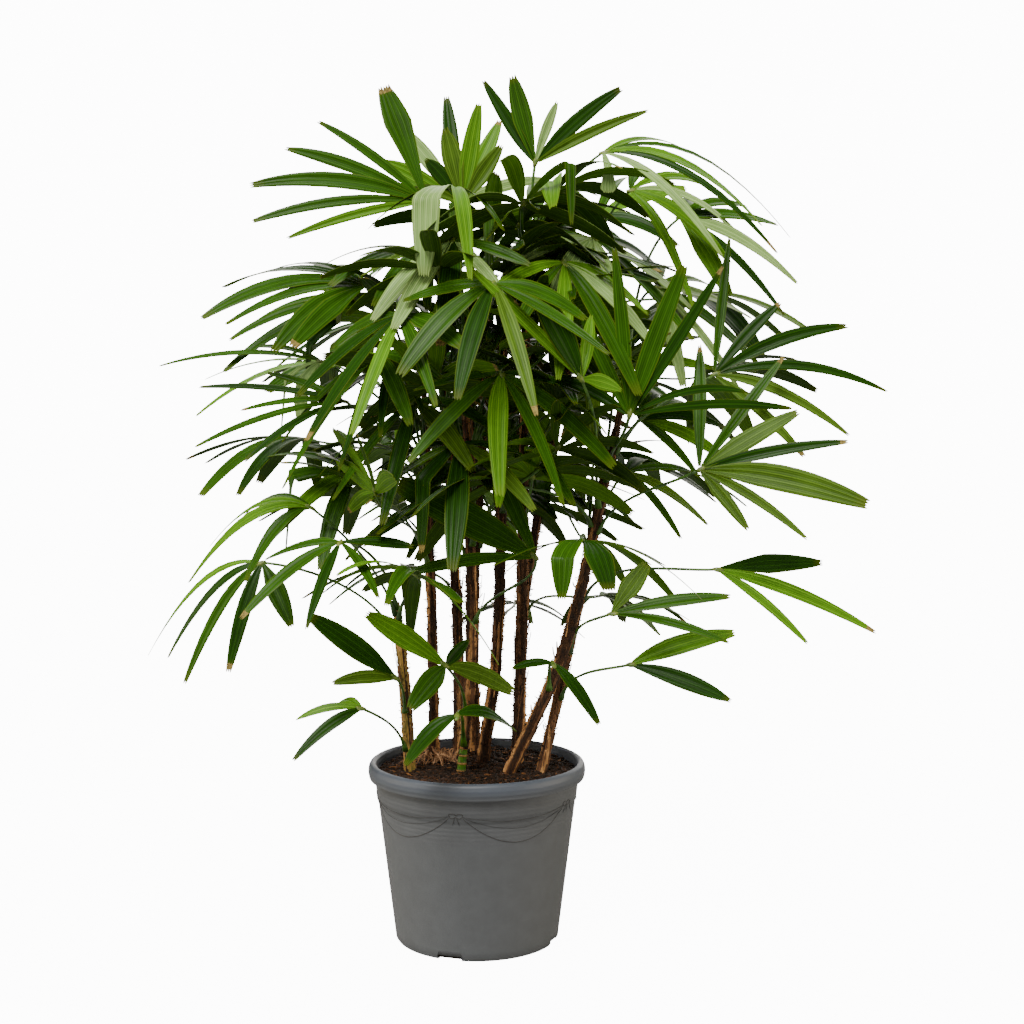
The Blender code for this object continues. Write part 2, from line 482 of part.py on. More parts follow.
def blade_frame(frond):
    """The blade's middle direction, its side direction and the way it faces."""
    _, _, _, _, bearing, rise, roll, _, _, _, _ = frond
    aim = heading(bearing, rise)
    level = aim.cross(UP).normalized()
    over = level.cross(aim)
    turn = math.radians(roll)
    side = level * math.cos(turn) + over * math.sin(turn)
    return aim, side, side.cross(aim)


def leaflet_rings(frond, leaflet, extra):
    """Left, right and rib of one drooping leaflet, at each of its stations."""
    angle, length, width, droop, half_pitch = leaflet
    aim, side, facing = blade_frame(frond)
    hub = Vector(frond[3])
    ahead = aim * math.cos(math.radians(angle)) + side * math.sin(math.radians(angle))
    across = ahead.cross(facing)
    thick = length * LEAFLET_THICKNESS_SHARE
    rings = []
    for station, share in zip(LEAFLET_STATIONS, LEAFLET_WIDTHS):
        along = (ahead - UP * droop * station).normalized()
        centre = hub + (ahead * station - UP * droop * station * station / 2) * length
        edge = (across - along * across.dot(along)).normalized()
        rib = edge.cross(along) * (thick / 2 + extra)
        room = math.tan(math.radians(half_pitch)) * station * length * NEIGHBOUR_ROOM
        half = min(width * share / 2, room) + extra
        rings.append([centre - edge * half - rib, centre + edge * half - rib, centre + rib])
    return rings


def fat_tree(rings):
    bm = bmesh.new()
    skin(bm, rings)
    tree = BVHTree.FromBMesh(bm)
    bm.free()
    return tree


def box_of(rings):
    points = [point for ring in rings for point in ring]
    low = Vector([min(point[axis] for point in points) for axis in range(3)])
    high = Vector([max(point[axis] for point in points) for axis in range(3)])
    return low, high


def boxes_meet(one, other):
    return all(one[0][axis] <= other[1][axis] and other[0][axis] <= one[1][axis] for axis in range(3))


def is_clear(rings, taken, kin):
    """True where a fattened shape touches nothing that the other solids, or its kin, have taken."""
    box = box_of(rings)
    near = [tree for owner, other, tree in taken if kin(owner) and boxes_meet(box, other)]
    if not near:
        return True
    tree = fat_tree(rings)
    return not any(tree.overlap(other) for other in near)


def stalk_foot(frond, cane_tree):
    """Where a solid's stalks leave the cane, and the level direction they leave in."""
    name, cane, height = frond[:3]
    centre = cane_centre(cane, height)
    hubs = [Vector(other[3]) for other in FRONDS if other[0] == name]
    middle = sum(hubs, Vector()) / len(hubs)
    outward = Vector((middle.x - centre.x, middle.y - centre.y, 0.0)).normalized()
    return against_cane(cane_tree, centre, outward), outward


def place_stalk(frond, cane_tree, taken):
    """The stalk's rings, bowed aside until it is clear of the other stalks and the canes."""
    name, cane, _, hub = frond[:4]
    hub = Vector(hub)
    foot, outward = stalk_foot(frond, cane_tree)
    aim, side, facing = blade_frame(frond)
    end = [hub - side * HUB_RADIUS, hub + side * HUB_RADIUS, hub + facing * STALK_RISE]
    for bow in BOWS:
        path = stalk_path(foot, outward, hub, aim, bow)
        fat = [*stalk_rings(path, outward, side, CLEARANCE), end]
        if not is_clear(fat, taken, lambda owner: owner[0] not in (name, cane)):
            continue
        if is_clear(fat[1:], taken, lambda owner: owner[0] == cane):
            break
    rings = stalk_rings(path, outward, side, 0.0)
    for shape in ([*rings, end], hub_block(hub, aim, side, facing)):
        taken.append(((name, frond[3]), box_of(shape), fat_tree(shape)))
    return rings


def hub_block(hub, aim, side, facing):
    """The room that a hub and the roots of its leaflets take."""
    rise = facing * HUB_RADIUS * 0.5
    low = ring_about(hub - rise, aim, side, HUB_RADIUS * 1.5, 8)
    high = ring_about(hub + rise, aim, side, HUB_RADIUS * 1.5, 8)
    return [low, high]


def place_leaflet(frond, leaflet, taken):
    """The leaflet's angle and rings, swung or shortened until it is clear, or nothing."""
    angle, length, width, droop, half_pitch = leaflet
    owner = (frond[0], frond[3])
    for shorter in LENGTH_CHANGES:
        for sag in DROOP_CHANGES:
            for swing in SWINGS:
                tried = (angle + swing, length * shorter, width, droop * sag, half_pitch)
                root = hub_points(frond, [angle + swing], ROOT_MARGIN)[1]
                fat = leaflet_rings(frond, tried, CLEARANCE)
                whole = [root, *leaflet_rings(frond, tried, 0.0)]
                others_clear = all(
                    is_clear(shape, taken, lambda other: other != owner)
                    for shape in ([root, *fat], whole)
                )
                if others_clear and is_clear(fat, taken, lambda other: other == owner):
                    taken.append((owner, box_of(whole), fat_tree(whole)))
                    return angle + swing, whole[1:]
    return angle, None


def hub_points(frond, angles, margin=0.0):
    """Corners between the leaflets' roots, and the triangle that each leaflet grows from."""
    aim, side, facing = blade_frame(frond)
    hub = Vector(frond[3])
    half_pitch = frond[8] / (frond[7] - 1) / 2 + margin
    rise = facing * frond[9] * LEAFLET_THICKNESS_SHARE / 2
    turns = [angles[0] - half_pitch]
    turns += [(before + after) / 2 for before, after in zip(angles, angles[1:])]
    turns.append(angles[-1] + half_pitch)
    around = [
        hub + (aim * math.cos(math.radians(turn)) + side * math.sin(math.radians(turn))) * HUB_RADIUS
        for turn in turns
    ]
    corners = [point - rise for point in around]
    ribs = [(before + after) / 2 + rise for before, after in zip(around, around[1:])]
    if len(angles) == 1:
        return corners, [corners[0], corners[1], ribs[0]]
    return corners, ribs


def frond_mesh(frond, stalk, leaflets):
    """Stalk, hub and leaflets as one closed skin."""
    aim, _, facing = blade_frame(frond)
    hub = Vector(frond[3])
    rise = facing * frond[9] * LEAFLET_THICKNESS_SHARE / 2
    corner_points, rib_points = hub_points(frond, [angle for angle, _ in leaflets])
    bm = bmesh.new()
    corners = [bm.verts.new(point) for point in corner_points]
    ribs = [bm.verts.new(point) for point in rib_points]
    back = bm.verts.new(hub - aim * HUB_RADIUS * 0.5 + rise)
    top = bm.verts.new(hub + rise * 1.3)
    loops = skin(bm, stalk, closed_end=False)
    join(bm, [loops[-1], [corners[0], corners[-1], back]])
    bm.faces.new(corners)
    bm.faces.new((top, corners[-1], back))
    bm.faces.new((top, back, corners[0]))
    for number, (_, rings) in enumerate(leaflets):
        root = [corners[number], corners[number + 1], ribs[number]]
        bm.faces.new((top, root[0], root[2]))
        bm.faces.new((top, root[2], root[1]))
        if rings is None:
            bm.faces.new(root)
        else:
            chain = [root] + [[bm.verts.new(point) for point in ring] for ring in rings]
            join(bm, chain)
            bm.faces.new(chain[-1])
    bmesh.ops.recalc_face_normals(bm, faces=bm.faces[:])
    return bm


def fuse(name, meshes):
    """One solid from the fronds of one foot, by one union on a collection."""
    finish = material(name + "_leaf", LEAF_GREEN, 0.45)
    whole = add_object(name, meshes[0], finish)
    if len(meshes) == 1:
        return
    group = bpy.data.collections.new(name + "_pieces")
    bpy.context.scene.collection.children.link(group)
    for number, bm in enumerate(meshes[1:]):
        piece = add_object(f"{name}_piece_{number}", bm, finish)
        bpy.context.scene.collection.objects.unlink(piece)
        group.objects.link(piece)
    union = whole.modifiers.new("Fuse", "BOOLEAN")
    union.operation = "UNION"
    union.operand_type = "COLLECTION"
    union.collection = group
    union.solver = "MANIFOLD"
    graph = bpy.context.evaluated_depsgraph_get()
    fused = bpy.data.meshes.new_from_object(whole.evaluated_get(graph))
    whole.modifiers.clear()
    whole.data = fused
    for piece in list(group.objects):
        bpy.data.objects.remove(piece, do_unlink=True)
    bpy.data.collections.remove(group)


def make_fronds(canes):
    taken = []
    cane_trees = {}
    for name, cane in canes.items():
        bm = bmesh.new()
        bm.from_mesh(cane.data)
        cane_trees[name] = BVHTree.FromBMesh(bm)
        bm.free()
        corners = [[vertex.co.copy() for vertex in cane.data.vertices]]
        taken.append(((name, None), box_of(corners), cane_trees[name]))
    stalks = [place_stalk(frond, cane_trees[frond[1]], taken) for frond in FRONDS]
    solids = {}
    for frond, stalk in zip(FRONDS, stalks):
        leaflets = [place_leaflet(frond, leaflet, taken) for leaflet in fan(frond)]
        solids.setdefault(frond[0], []).append(frond_mesh(frond, stalk, leaflets))
    for name, meshes in solids.items():
        fuse(name, meshes)


def main():
    clear_scene()
    make_pot()
    make_soil()
    canes = {name: make_cane(name) for name in CANES}
    make_fronds(canes)


main()
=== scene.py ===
"""Looks of the lady palm in its grey nursery pot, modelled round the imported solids.

Metres, +Z up, origin at the centre of the pot's flat underside, photograph taken looking
along +Y. The fronds, canes, soil and pot are grown from the same named sizes as the solids
they stand for, then carried to leaf ribs, toothed tips, sheath fibre and soil crumbs.
"""
import math
import random

import bmesh
import bpy
import numpy as np
from mathutils import Matrix, Vector, noise


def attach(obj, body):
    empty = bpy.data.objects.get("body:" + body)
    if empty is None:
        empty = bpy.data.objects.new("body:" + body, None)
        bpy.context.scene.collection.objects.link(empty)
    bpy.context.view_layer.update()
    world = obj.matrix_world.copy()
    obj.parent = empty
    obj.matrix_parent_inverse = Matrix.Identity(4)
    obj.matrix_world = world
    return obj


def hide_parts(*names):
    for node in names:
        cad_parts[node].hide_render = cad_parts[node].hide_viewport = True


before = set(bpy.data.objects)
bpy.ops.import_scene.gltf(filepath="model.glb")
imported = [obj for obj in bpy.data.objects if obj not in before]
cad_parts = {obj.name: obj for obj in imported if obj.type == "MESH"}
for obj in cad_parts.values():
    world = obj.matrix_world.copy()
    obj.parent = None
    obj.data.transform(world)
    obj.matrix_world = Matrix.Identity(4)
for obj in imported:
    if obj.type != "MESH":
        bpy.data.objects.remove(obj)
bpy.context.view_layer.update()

UP = Vector((0.0, 0.0, 1.0))

# Pot: the solids' tapered tub, turned finer
POT_HEIGHT = 0.280
POT_BASE_RADIUS = 0.1275
POT_WALL = 0.003
POT_FLOOR = 0.0045
POT_TAPER = 0.1225
POT_STEPS = 144
WALL_ROWS = 18
STEP_BELOW_RIM = 0.034
STEP_DEPTH = 0.0012
STEP_ROUNDING = 0.002
STEP_MIDDLE = 0.016
NOTCH_WIDTH = 0.038
NOTCH_HEIGHT = 0.008
NOTCH_DEPTH = 0.012
NOTCH_COUNT = 4
NOTCH_BEARING = 252.0

# Foot and rolled rim, as points of the pot's section. The foot's edge: in from the base radius and
# up. The rim's outside: in from its radius and up from its underside. Its top: in from its radius
# and down from the pot's height. Its inside: out from the inner wall and down from that height.
FOOT_MIDDLE = 0.06
FOOT_EDGE = ((0.0040, 0.0), (0.0018, 0.0006))
FOOT_ROUNDING = 0.004
RIM_RADIUS = 0.170
RIM_DEPTH = 0.0255
LIP_DEPTH = 0.007
RIM_OUTSIDE = ((0.0040, 0.0001), (0.0022, 0.0008), (0.0012, 0.0030), (0.0014, 0.0052), (0.0003, 0.0072),
               (0.0, 0.0110), (0.0002, 0.0150), (0.0012, 0.0195), (0.0032, 0.0232))
RIM_TOP = ((0.0062, 0.0003), (0.0084, 0.0))
RIM_INSIDE = ((0.0034, 0.0009), (0.0010, 0.0032), (0.0, LIP_DEPTH))

# Swags: the ribbon garlands moulded on the pot's wall, each a few lines with a sag and half a
# width, and the bows at their knots. Reaches round the pot are in degrees. A bow's tail starts
# and runs so far round the pot and down it.
SWAG_COUNT = 5
SWAG_PITCH = 360.0 / SWAG_COUNT
SWAG_FIRST_KNOT = 259.6
SWAG_HEIGHT = 0.230
SWAG_STEPS = 28
SWAG_LINES = ((0.009, 0.0005), (0.021, 0.0003), (0.043, 0.0008))
KNOT_GAP = 3.0
BOW_STEPS = 12
BOW_REACH = 4.2
BOW_RISE = 0.0035
BOW_WIDTH = 0.00096
TAIL_START = (0.4, 0.002)
TAIL_RUN = (1.6, 0.013)
BEAD_RISE = 0.0006
BEAD_END = 0.35
BEAD_SIDES = 8

# Soil: its bumpy top, which sinks a little towards the wall, and the hair's gap round it
SOIL_TOP = 0.267
SOIL_BUMP = 0.0035
SOIL_EDGE_DROP = 0.004
SOIL_EDGE_START = 0.135
SOIL_EDGE_WIDTH = 0.02
SOIL_GAP = 0.0003
SOIL_RINGS = 44
SOIL_STEPS = 150

# Crumbs: how far out they lie, the spans of their sizes and shapes, the shape of a chip, and the
# draw from 0 to 1 above which one is bark, a chip and a pale chip
CRUMBS = 5200
CRUMB_REACH = 0.985
CRUMB_SIZES = (0.0010, 0.0042)
CRUMB_SHAPES = ((0.8, 1.4), (0.7, 1.1), (0.6, 0.9))
CRUMB_ROUGHNESS = 0.25
CHIP_SHAPE = (2.4, 0.7, 0.35)
BARK_FROM = 0.62
CHIPS_FROM = 0.86
PALE_CHIPS_FROM = 0.93

# Canes: how they are drawn, then each one's radius at the foot, radius at the top, foot (x, y) and
# points up the cane
CANE_FOOT_FLARE = 1.05
CANE_SUNK = 0.002
TRIAL_STEPS = 40
CENTRE_STEPS = 60
CANES = {
    "cane_a": (0.0086, 0.0058, (-0.103, -0.020), ((-0.112, -0.018, 0.40), (-0.124, -0.015, 0.53))),
    "cane_b": (0.0078, 0.0060, (-0.069, 0.050), ((-0.073, 0.055, 0.50), (-0.085, 0.060, 0.86))),
    "cane_c": (0.0086, 0.0060, (-0.031, 0.085), ((-0.034, 0.090, 0.50), (-0.060, 0.105, 0.95))),
    "cane_d": (0.0086, 0.0062, (-0.024, -0.030), ((-0.008, -0.025, 0.48), (-0.016, -0.030, 1.00))),
    "cane_e": (0.0092, 0.0060, (0.008, 0.035), ((0.034, 0.035, 0.50), (0.040, 0.050, 1.02))),
    "cane_f": (0.0092, 0.0058, (0.063, 0.030), ((0.070, 0.025, 0.50), (0.078, 0.010, 1.08))),
    "cane_g": (0.0092, 0.0066, (0.050, -0.035), ((0.140, -0.050, 0.48), (0.222, -0.060, 0.84))),
    "cane_h": (0.0078, 0.0058, (0.100, -0.030), ((0.126, -0.020, 0.38), (0.176, 0.000, 0.60))),
    "cane_i": (0.0080, 0.0054, (-0.006, 0.110), ((-0.006, 0.140, 0.55), (0.020, 0.185, 1.00))),
    "cane_j": (0.0080, 0.0054, (0.068, 0.095), ((0.080, 0.110, 0.55), (0.165, 0.160, 0.98))),
}

# Bark: the overlapping old sheaths and their fibre on a cane
CANE_RINGS_PER_METRE = 330
CANE_SIDES = 26
FIBRE_RELIEF = 0.0007
SHEATH_PITCH = 0.042
SHEATH_STEP = 0.0016

# Bare foot: the green foot of one cane, which has shed its sheaths and shows a ring at each node
BARE_CANES = ("cane_d",)
BARE_FOOT_TOP = 0.303
BARE_FOOT_SLIMNESS = 0.0022
FIRST_NODE = 0.268
NODE_PITCH = 0.012
NODE_WIDTH = 0.0024
NODE_RISE = 0.0006

# Cane finishes by number, and the shades from which a face takes them. A bare face's shade is far
# above any bark's, and one less in a node's ring.
DARK, BROWN, TAN, GREEN, RINGED, YOUNG = range(6)
BROWN_FROM = 0.02
TAN_FROM = 0.34
YOUNG_FROM = -0.05
BARE_SHADE = 9.0
CANE_LIGHTNESS = {"cane_a": 0.26, "cane_g": 0.14, "cane_h": 0.14, "cane_d": 0.14, "cane_b": 0.06}
YOUNG_CANES = ("cane_a",)

# Stray fibres, stubs of old stalks and strips of old sheath on the canes
HAIRS_PER_METRE = 760
HAIR_LENGTHS = (0.003, 0.008)
HAIR_HALF = 0.0008
HAIR_THICK = 0.0007
STUBS_PER_METRE = 9
STUB_LENGTHS = (0.009, 0.020)
STUB_HALVES = (0.0014, 0.0024)
STUB_THICK = 0.0012
STRIPS_PER_METRE = 30
STRIP_LENGTHS = (0.05, 0.13)
STRIP_HALVES = (0.0010, 0.0030)
STRIP_THICK = 0.0006
STRIP_PROUD = 0.0009

# Surface roots: their knot's middle, and each root's reach, sideways wave and arch
ROOT_COUNT = 70
ROOT_KNOT = (-0.060, 0.040, 0.27)
ROOT_REACHES = (0.010, 0.040)
ROOT_WAVE = 0.012
ROOT_ARCHES = (0.004, 0.024)
ROOT_HALVES = (0.0008, 0.0016)
ROOT_THICK = 0.0013

# Fronds: name, cane, height of the foot on the cane, hub (x, y, z), then the fan of the
# blade: bearing and rise of its middle leaflet, roll, leaflet count, spread, length, droop.
# Bearings run from +X through +Y. Fronds of one name share a foot and are one solid.
FRONDS = (
    ("frond_top_1", "cane_d", 0.93, (-0.07, -0.12, 1.13), 182, 30, 72, 6, 80, 0.25, 0.45),
    ("frond_top_1", "cane_d", 0.93, (-0.03, -0.17, 1.07), 255, -40, 0, 6, 150, 0.18, 0.40),
    ("frond_top_2", "cane_c", 0.90, (-0.02, -0.04, 1.135), 170, 68, 70, 5, 90, 0.16, 0.50),
    ("frond_top_3", "cane_d", 0.97, (-0.03, -0.17, 1.14), 250, 15, 0, 4, 130, 0.14, 1.00),
    ("frond_top_3", "cane_d", 0.97, (-0.07, -0.05, 1.06), 228, 8, 20, 6, 150, 0.17, 0.80),
    ("frond_top_4", "cane_e", 0.96, (-0.03, 0.06, 1.15), 100, 72, 0, 5, 120, 0.19, 0.15),
    ("frond_top_4", "cane_e", 0.96, (0.02, -0.02, 1.10), 245, 48, 0, 6, 200, 0.19, 0.60),
    ("frond_top_5", "cane_f", 1.03, (0.09, -0.02, 1.20), 0, 75, -76, 5, 92, 0.20, 0.25),
    ("frond_top_6", "cane_f", 0.99, (0.07, -0.16, 1.12), 285, 42, 0, 6, 200, 0.20, 0.85),
    ("frond_top_6", "cane_f", 0.99, (0.13, -0.15, 1.04), 292, -44, 0, 6, 170, 0.19, 0.50),
    ("frond_top_7", "cane_f", 1.06, (0.19, -0.06, 1.21), 354, 12, -40, 6, 112, 0.30, 1.00),
    ("frond_top_7", "cane_f", 1.06, (0.12, -0.07, 1.15), 320, 34, 0, 6, 180, 0.19, 0.80),
    ("frond_top_8", "cane_j", 0.92, (0.24, 0.06, 1.17), 8, 12, -45, 5, 130, 0.19, 0.80),
    ("frond_top_8", "cane_j", 0.92, (0.18, 0.00, 1.09), 305, -35, 0, 6, 180, 0.20, 0.50),
    ("frond_top_9", "cane_g", 0.82, (0.32, 0.08, 1.13), 4, 4, -50, 6, 130, 0.19, 0.70),
    ("frond_top_9", "cane_g", 0.82, (0.28, 0.05, 1.02), 15, -10, -45, 6, 150, 0.19, 0.50),
    ("frond_right_1", "cane_g", 0.72, (0.22, -0.22, 0.82), 0, 80, -72, 7, 128, 0.25, 0.15),
    ("frond_right_2", "cane_g", 0.76, (0.36, -0.05, 0.88), 2, 25, -68, 6, 118, 0.27, 0.50),
    ("frond_right_3", "cane_g", 0.64, (0.33, -0.13, 0.74), 356, 25, -66, 7, 138, 0.25, 0.40),
    ("frond_right_4", "cane_g", 0.60, (0.23, 0.00, 0.73), 30, 12, -40, 5, 140, 0.13, 0.60),
    ("frond_right_4", "cane_g", 0.60, (0.26, 0.10, 0.81), 20, 28, -50, 6, 140, 0.17, 0.60),
    ("frond_right_4", "cane_g", 0.60, (0.22, 0.04, 0.90), 80, 50, 0, 6, 150, 0.19, 0.40),
    ("frond_right_5", "cane_h", 0.53, (0.36, -0.10, 0.59), 356, -6, -55, 3, 43, 0.23, 0.45),
    ("frond_right_6", "cane_h", 0.45, (0.20, -0.15, 0.53), 352, 6, -55, 3, 63, 0.18, 0.60),
    ("frond_right_7", "cane_h", 0.38, (0.23, -0.12, 0.45), 354, 4, -60, 2, 40, 0.17, 0.30),
    ("frond_middle_1", "cane_h", 0.58, (0.15, -0.30, 0.65), 278, 14, 0, 5, 180, 0.16, 0.80),
    ("frond_middle_2", "cane_d", 0.50, (0.09, -0.12, 0.61), 176, 40, 66, 3, 66, 0.24, 0.45),
    ("frond_middle_3", "cane_g", 0.68, (0.15, -0.28, 0.87), 182, 55, 66, 4, 129, 0.22, 0.40),
    ("frond_middle_3", "cane_g", 0.68, (0.12, -0.14, 0.84), 215, 48, 0, 6, 170, 0.18, 0.60),
    ("frond_middle_4", "cane_d", 0.86, (0.03, -0.28, 1.00), 265, -40, 0, 6, 180, 0.19, 0.50),
    ("frond_middle_4", "cane_d", 0.86, (-0.05, -0.20, 1.02), 240, 36, 0, 6, 170, 0.18, 0.70),
    ("frond_middle_5", "cane_d", 0.76, (0.04, -0.20, 0.88), 285, -45, 0, 6, 180, 0.18, 0.40),
    ("frond_middle_5", "cane_d", 0.76, (0.10, -0.10, 0.94), 300, 52, 0, 6, 190, 0.19, 0.60),
    ("frond_middle_6", "cane_d", 0.62, (0.12, -0.16, 0.77), 295, 48, 0, 6, 190, 0.17, 0.60),
    ("frond_middle_6", "cane_d", 0.62, (-0.02, -0.15, 0.78), 250, -30, 0, 6, 190, 0.18, 0.50),
    ("frond_left_1", "cane_c", 0.84, (-0.16, -0.10, 1.01), 190, 16, 35, 7, 120, 0.23, 0.60),
    ("frond_left_1", "cane_c", 0.84, (-0.11, -0.02, 0.99), 215, 30, 0, 6, 170, 0.19, 0.60),
    ("frond_left_2", "cane_b", 0.82, (-0.17, 0.02, 0.99), 182, 15, 42, 6, 107, 0.22, 0.60),
    ("frond_left_2", "cane_b", 0.82, (-0.14, -0.13, 0.91), 236, -40, 0, 6, 170, 0.18, 0.50),
    ("frond_left_3", "cane_d", 0.72, (-0.10, -0.24, 0.96), 235, -38, 0, 6, 170, 0.18, 0.50),
    ("frond_left_3", "cane_d", 0.72, (-0.06, -0.15, 0.86), 250, 58, 0, 6, 180, 0.18, 0.50),
    ("frond_left_4", "cane_b", 0.74, (-0.23, -0.05, 0.90), 184, 12, 34, 4, 74, 0.25, 0.90),
    ("frond_left_4", "cane_b", 0.74, (-0.12, -0.06, 0.95), 225, 48, 0, 6, 190, 0.19, 0.60),
    ("frond_left_5", "cane_b", 0.66, (-0.19, -0.12, 0.84), 188, 10, 38, 5, 64, 0.22, 0.65),
    ("frond_left_5", "cane_b", 0.66, (-0.09, -0.10, 0.84), 240, -35, 0, 6, 190, 0.18, 0.50),
    ("frond_left_6", "cane_b", 0.58, (-0.14, -0.20, 0.71), 215, 70, 10, 5, 158, 0.15, 0.45),
    ("frond_left_6", "cane_b", 0.58, (-0.19, 0.00, 0.73), 190, 20, 40, 6, 140, 0.19, 0.60),
    ("frond_left_7", "cane_a", 0.50, (-0.08, -0.20, 0.59), 220, 34, 0, 7, 240, 0.16, 0.70),
    ("frond_left_8", "cane_a", 0.52, (-0.19, -0.20, 0.64), 255, -28, 0, 5, 200, 0.15, 0.40),
    ("frond_left_9", "cane_a", 0.47, (-0.33, -0.02, 0.592), 186, -20, 58, 5, 130, 0.19, 0.60),
    ("frond_left_10", "cane_a", 0.51, (-0.243, -0.10, 0.682), 188, 26, 34, 4, 60, 0.19, 0.70),
    ("frond_low_1", "cane_a", 0.36, (-0.12, -0.07, 0.42), 186, 34, 60, 2, 30, 0.17, 0.40),
    ("frond_low_2", "cane_d", 0.36, (-0.043, -0.13, 0.45), 182, 40, 60, 4, 204, 0.12, 0.55),
    ("frond_low_3", "cane_a", 0.30, (-0.17, -0.10, 0.38), 188, 10, 50, 3, 72, 0.11, 0.70),
    ("frond_low_4", "cane_d", 0.31, (-0.024, -0.20, 0.39), 264, -32, 0, 2, 100, 0.08, 0.70),
    ("frond_low_5", "cane_g", 0.40, (0.115, -0.15, 0.457), 290, -35, 0, 2, 90, 0.09, 0.80),
    ("frond_back_1", "cane_i", 0.97, (-0.04, 0.32, 1.11), 100, 16, 0, 6, 160, 0.24, 0.70),
    ("frond_back_1", "cane_i", 0.97, (0.10, 0.30, 1.16), 70, 40, 0, 6, 180, 0.22, 0.50),
    ("frond_back_2", "cane_j", 0.95, (0.20, 0.26, 1.15), 70, 50, 0, 5, 170, 0.20, 0.50),
    ("frond_back_2", "cane_j", 0.95, (0.34, 0.26, 1.02), 35, 12, 0, 6, 170, 0.24, 0.70),
    ("frond_back_3", "cane_i", 0.88, (0.06, 0.40, 0.96), 88, 8, 0, 6, 190, 0.24, 0.70),
    ("frond_back_3", "cane_i", 0.88, (-0.14, 0.34, 0.98), 130, 12, 0, 6, 170, 0.23, 0.70),
    ("frond_back_4", "cane_j", 0.84, (0.36, 0.16, 0.88), 15, 15, 20, 6, 160, 0.24, 0.60),
    ("frond_back_4", "cane_j", 0.84, (0.24, 0.36, 0.88), 62, 6, 0, 6, 180, 0.23, 0.70),
    ("frond_back_5", "cane_c", 0.76, (-0.24, 0.24, 0.90), 150, 14, 0, 6, 160, 0.24, 0.70),
    ("frond_back_5", "cane_c", 0.76, (-0.08, 0.26, 0.80), 112, 0, 0, 6, 190, 0.20, 0.60),
    ("frond_back_6", "cane_i", 0.74, (0.12, 0.36, 0.76), 80, 0, 0, 6, 190, 0.22, 0.60),
    ("frond_back_6", "cane_i", 0.74, (-0.04, 0.34, 0.70), 105, -8, 0, 5, 170, 0.22, 0.60),
    ("frond_back_7", "cane_b", 0.70, (-0.28, 0.12, 0.78), 165, 8, 0, 6, 150, 0.22, 0.70),
    ("frond_back_7", "cane_b", 0.70, (-0.20, 0.22, 0.70), 140, -6, 0, 5, 160, 0.20, 0.60),
    ("frond_back_8", "cane_j", 0.68, (0.27, 0.26, 0.73), 55, 10, 0, 6, 170, 0.19, 0.60),
    ("frond_back_8", "cane_j", 0.68, (0.18, 0.30, 0.60), 65, -8, 0, 5, 170, 0.19, 0.60),
    ("frond_back_9", "cane_c", 0.52, (-0.13, 0.22, 0.56), 130, 4, 0, 5, 170, 0.18, 0.60),
    ("frond_back_10", "cane_e", 0.46, (0.06, 0.20, 0.50), 85, 6, 0, 5, 190, 0.16, 0.60),
    ("frond_back_11", "cane_f", 0.50, (0.20, 0.14, 0.52), 30, 8, 0, 5, 160, 0.18, 0.60),
)

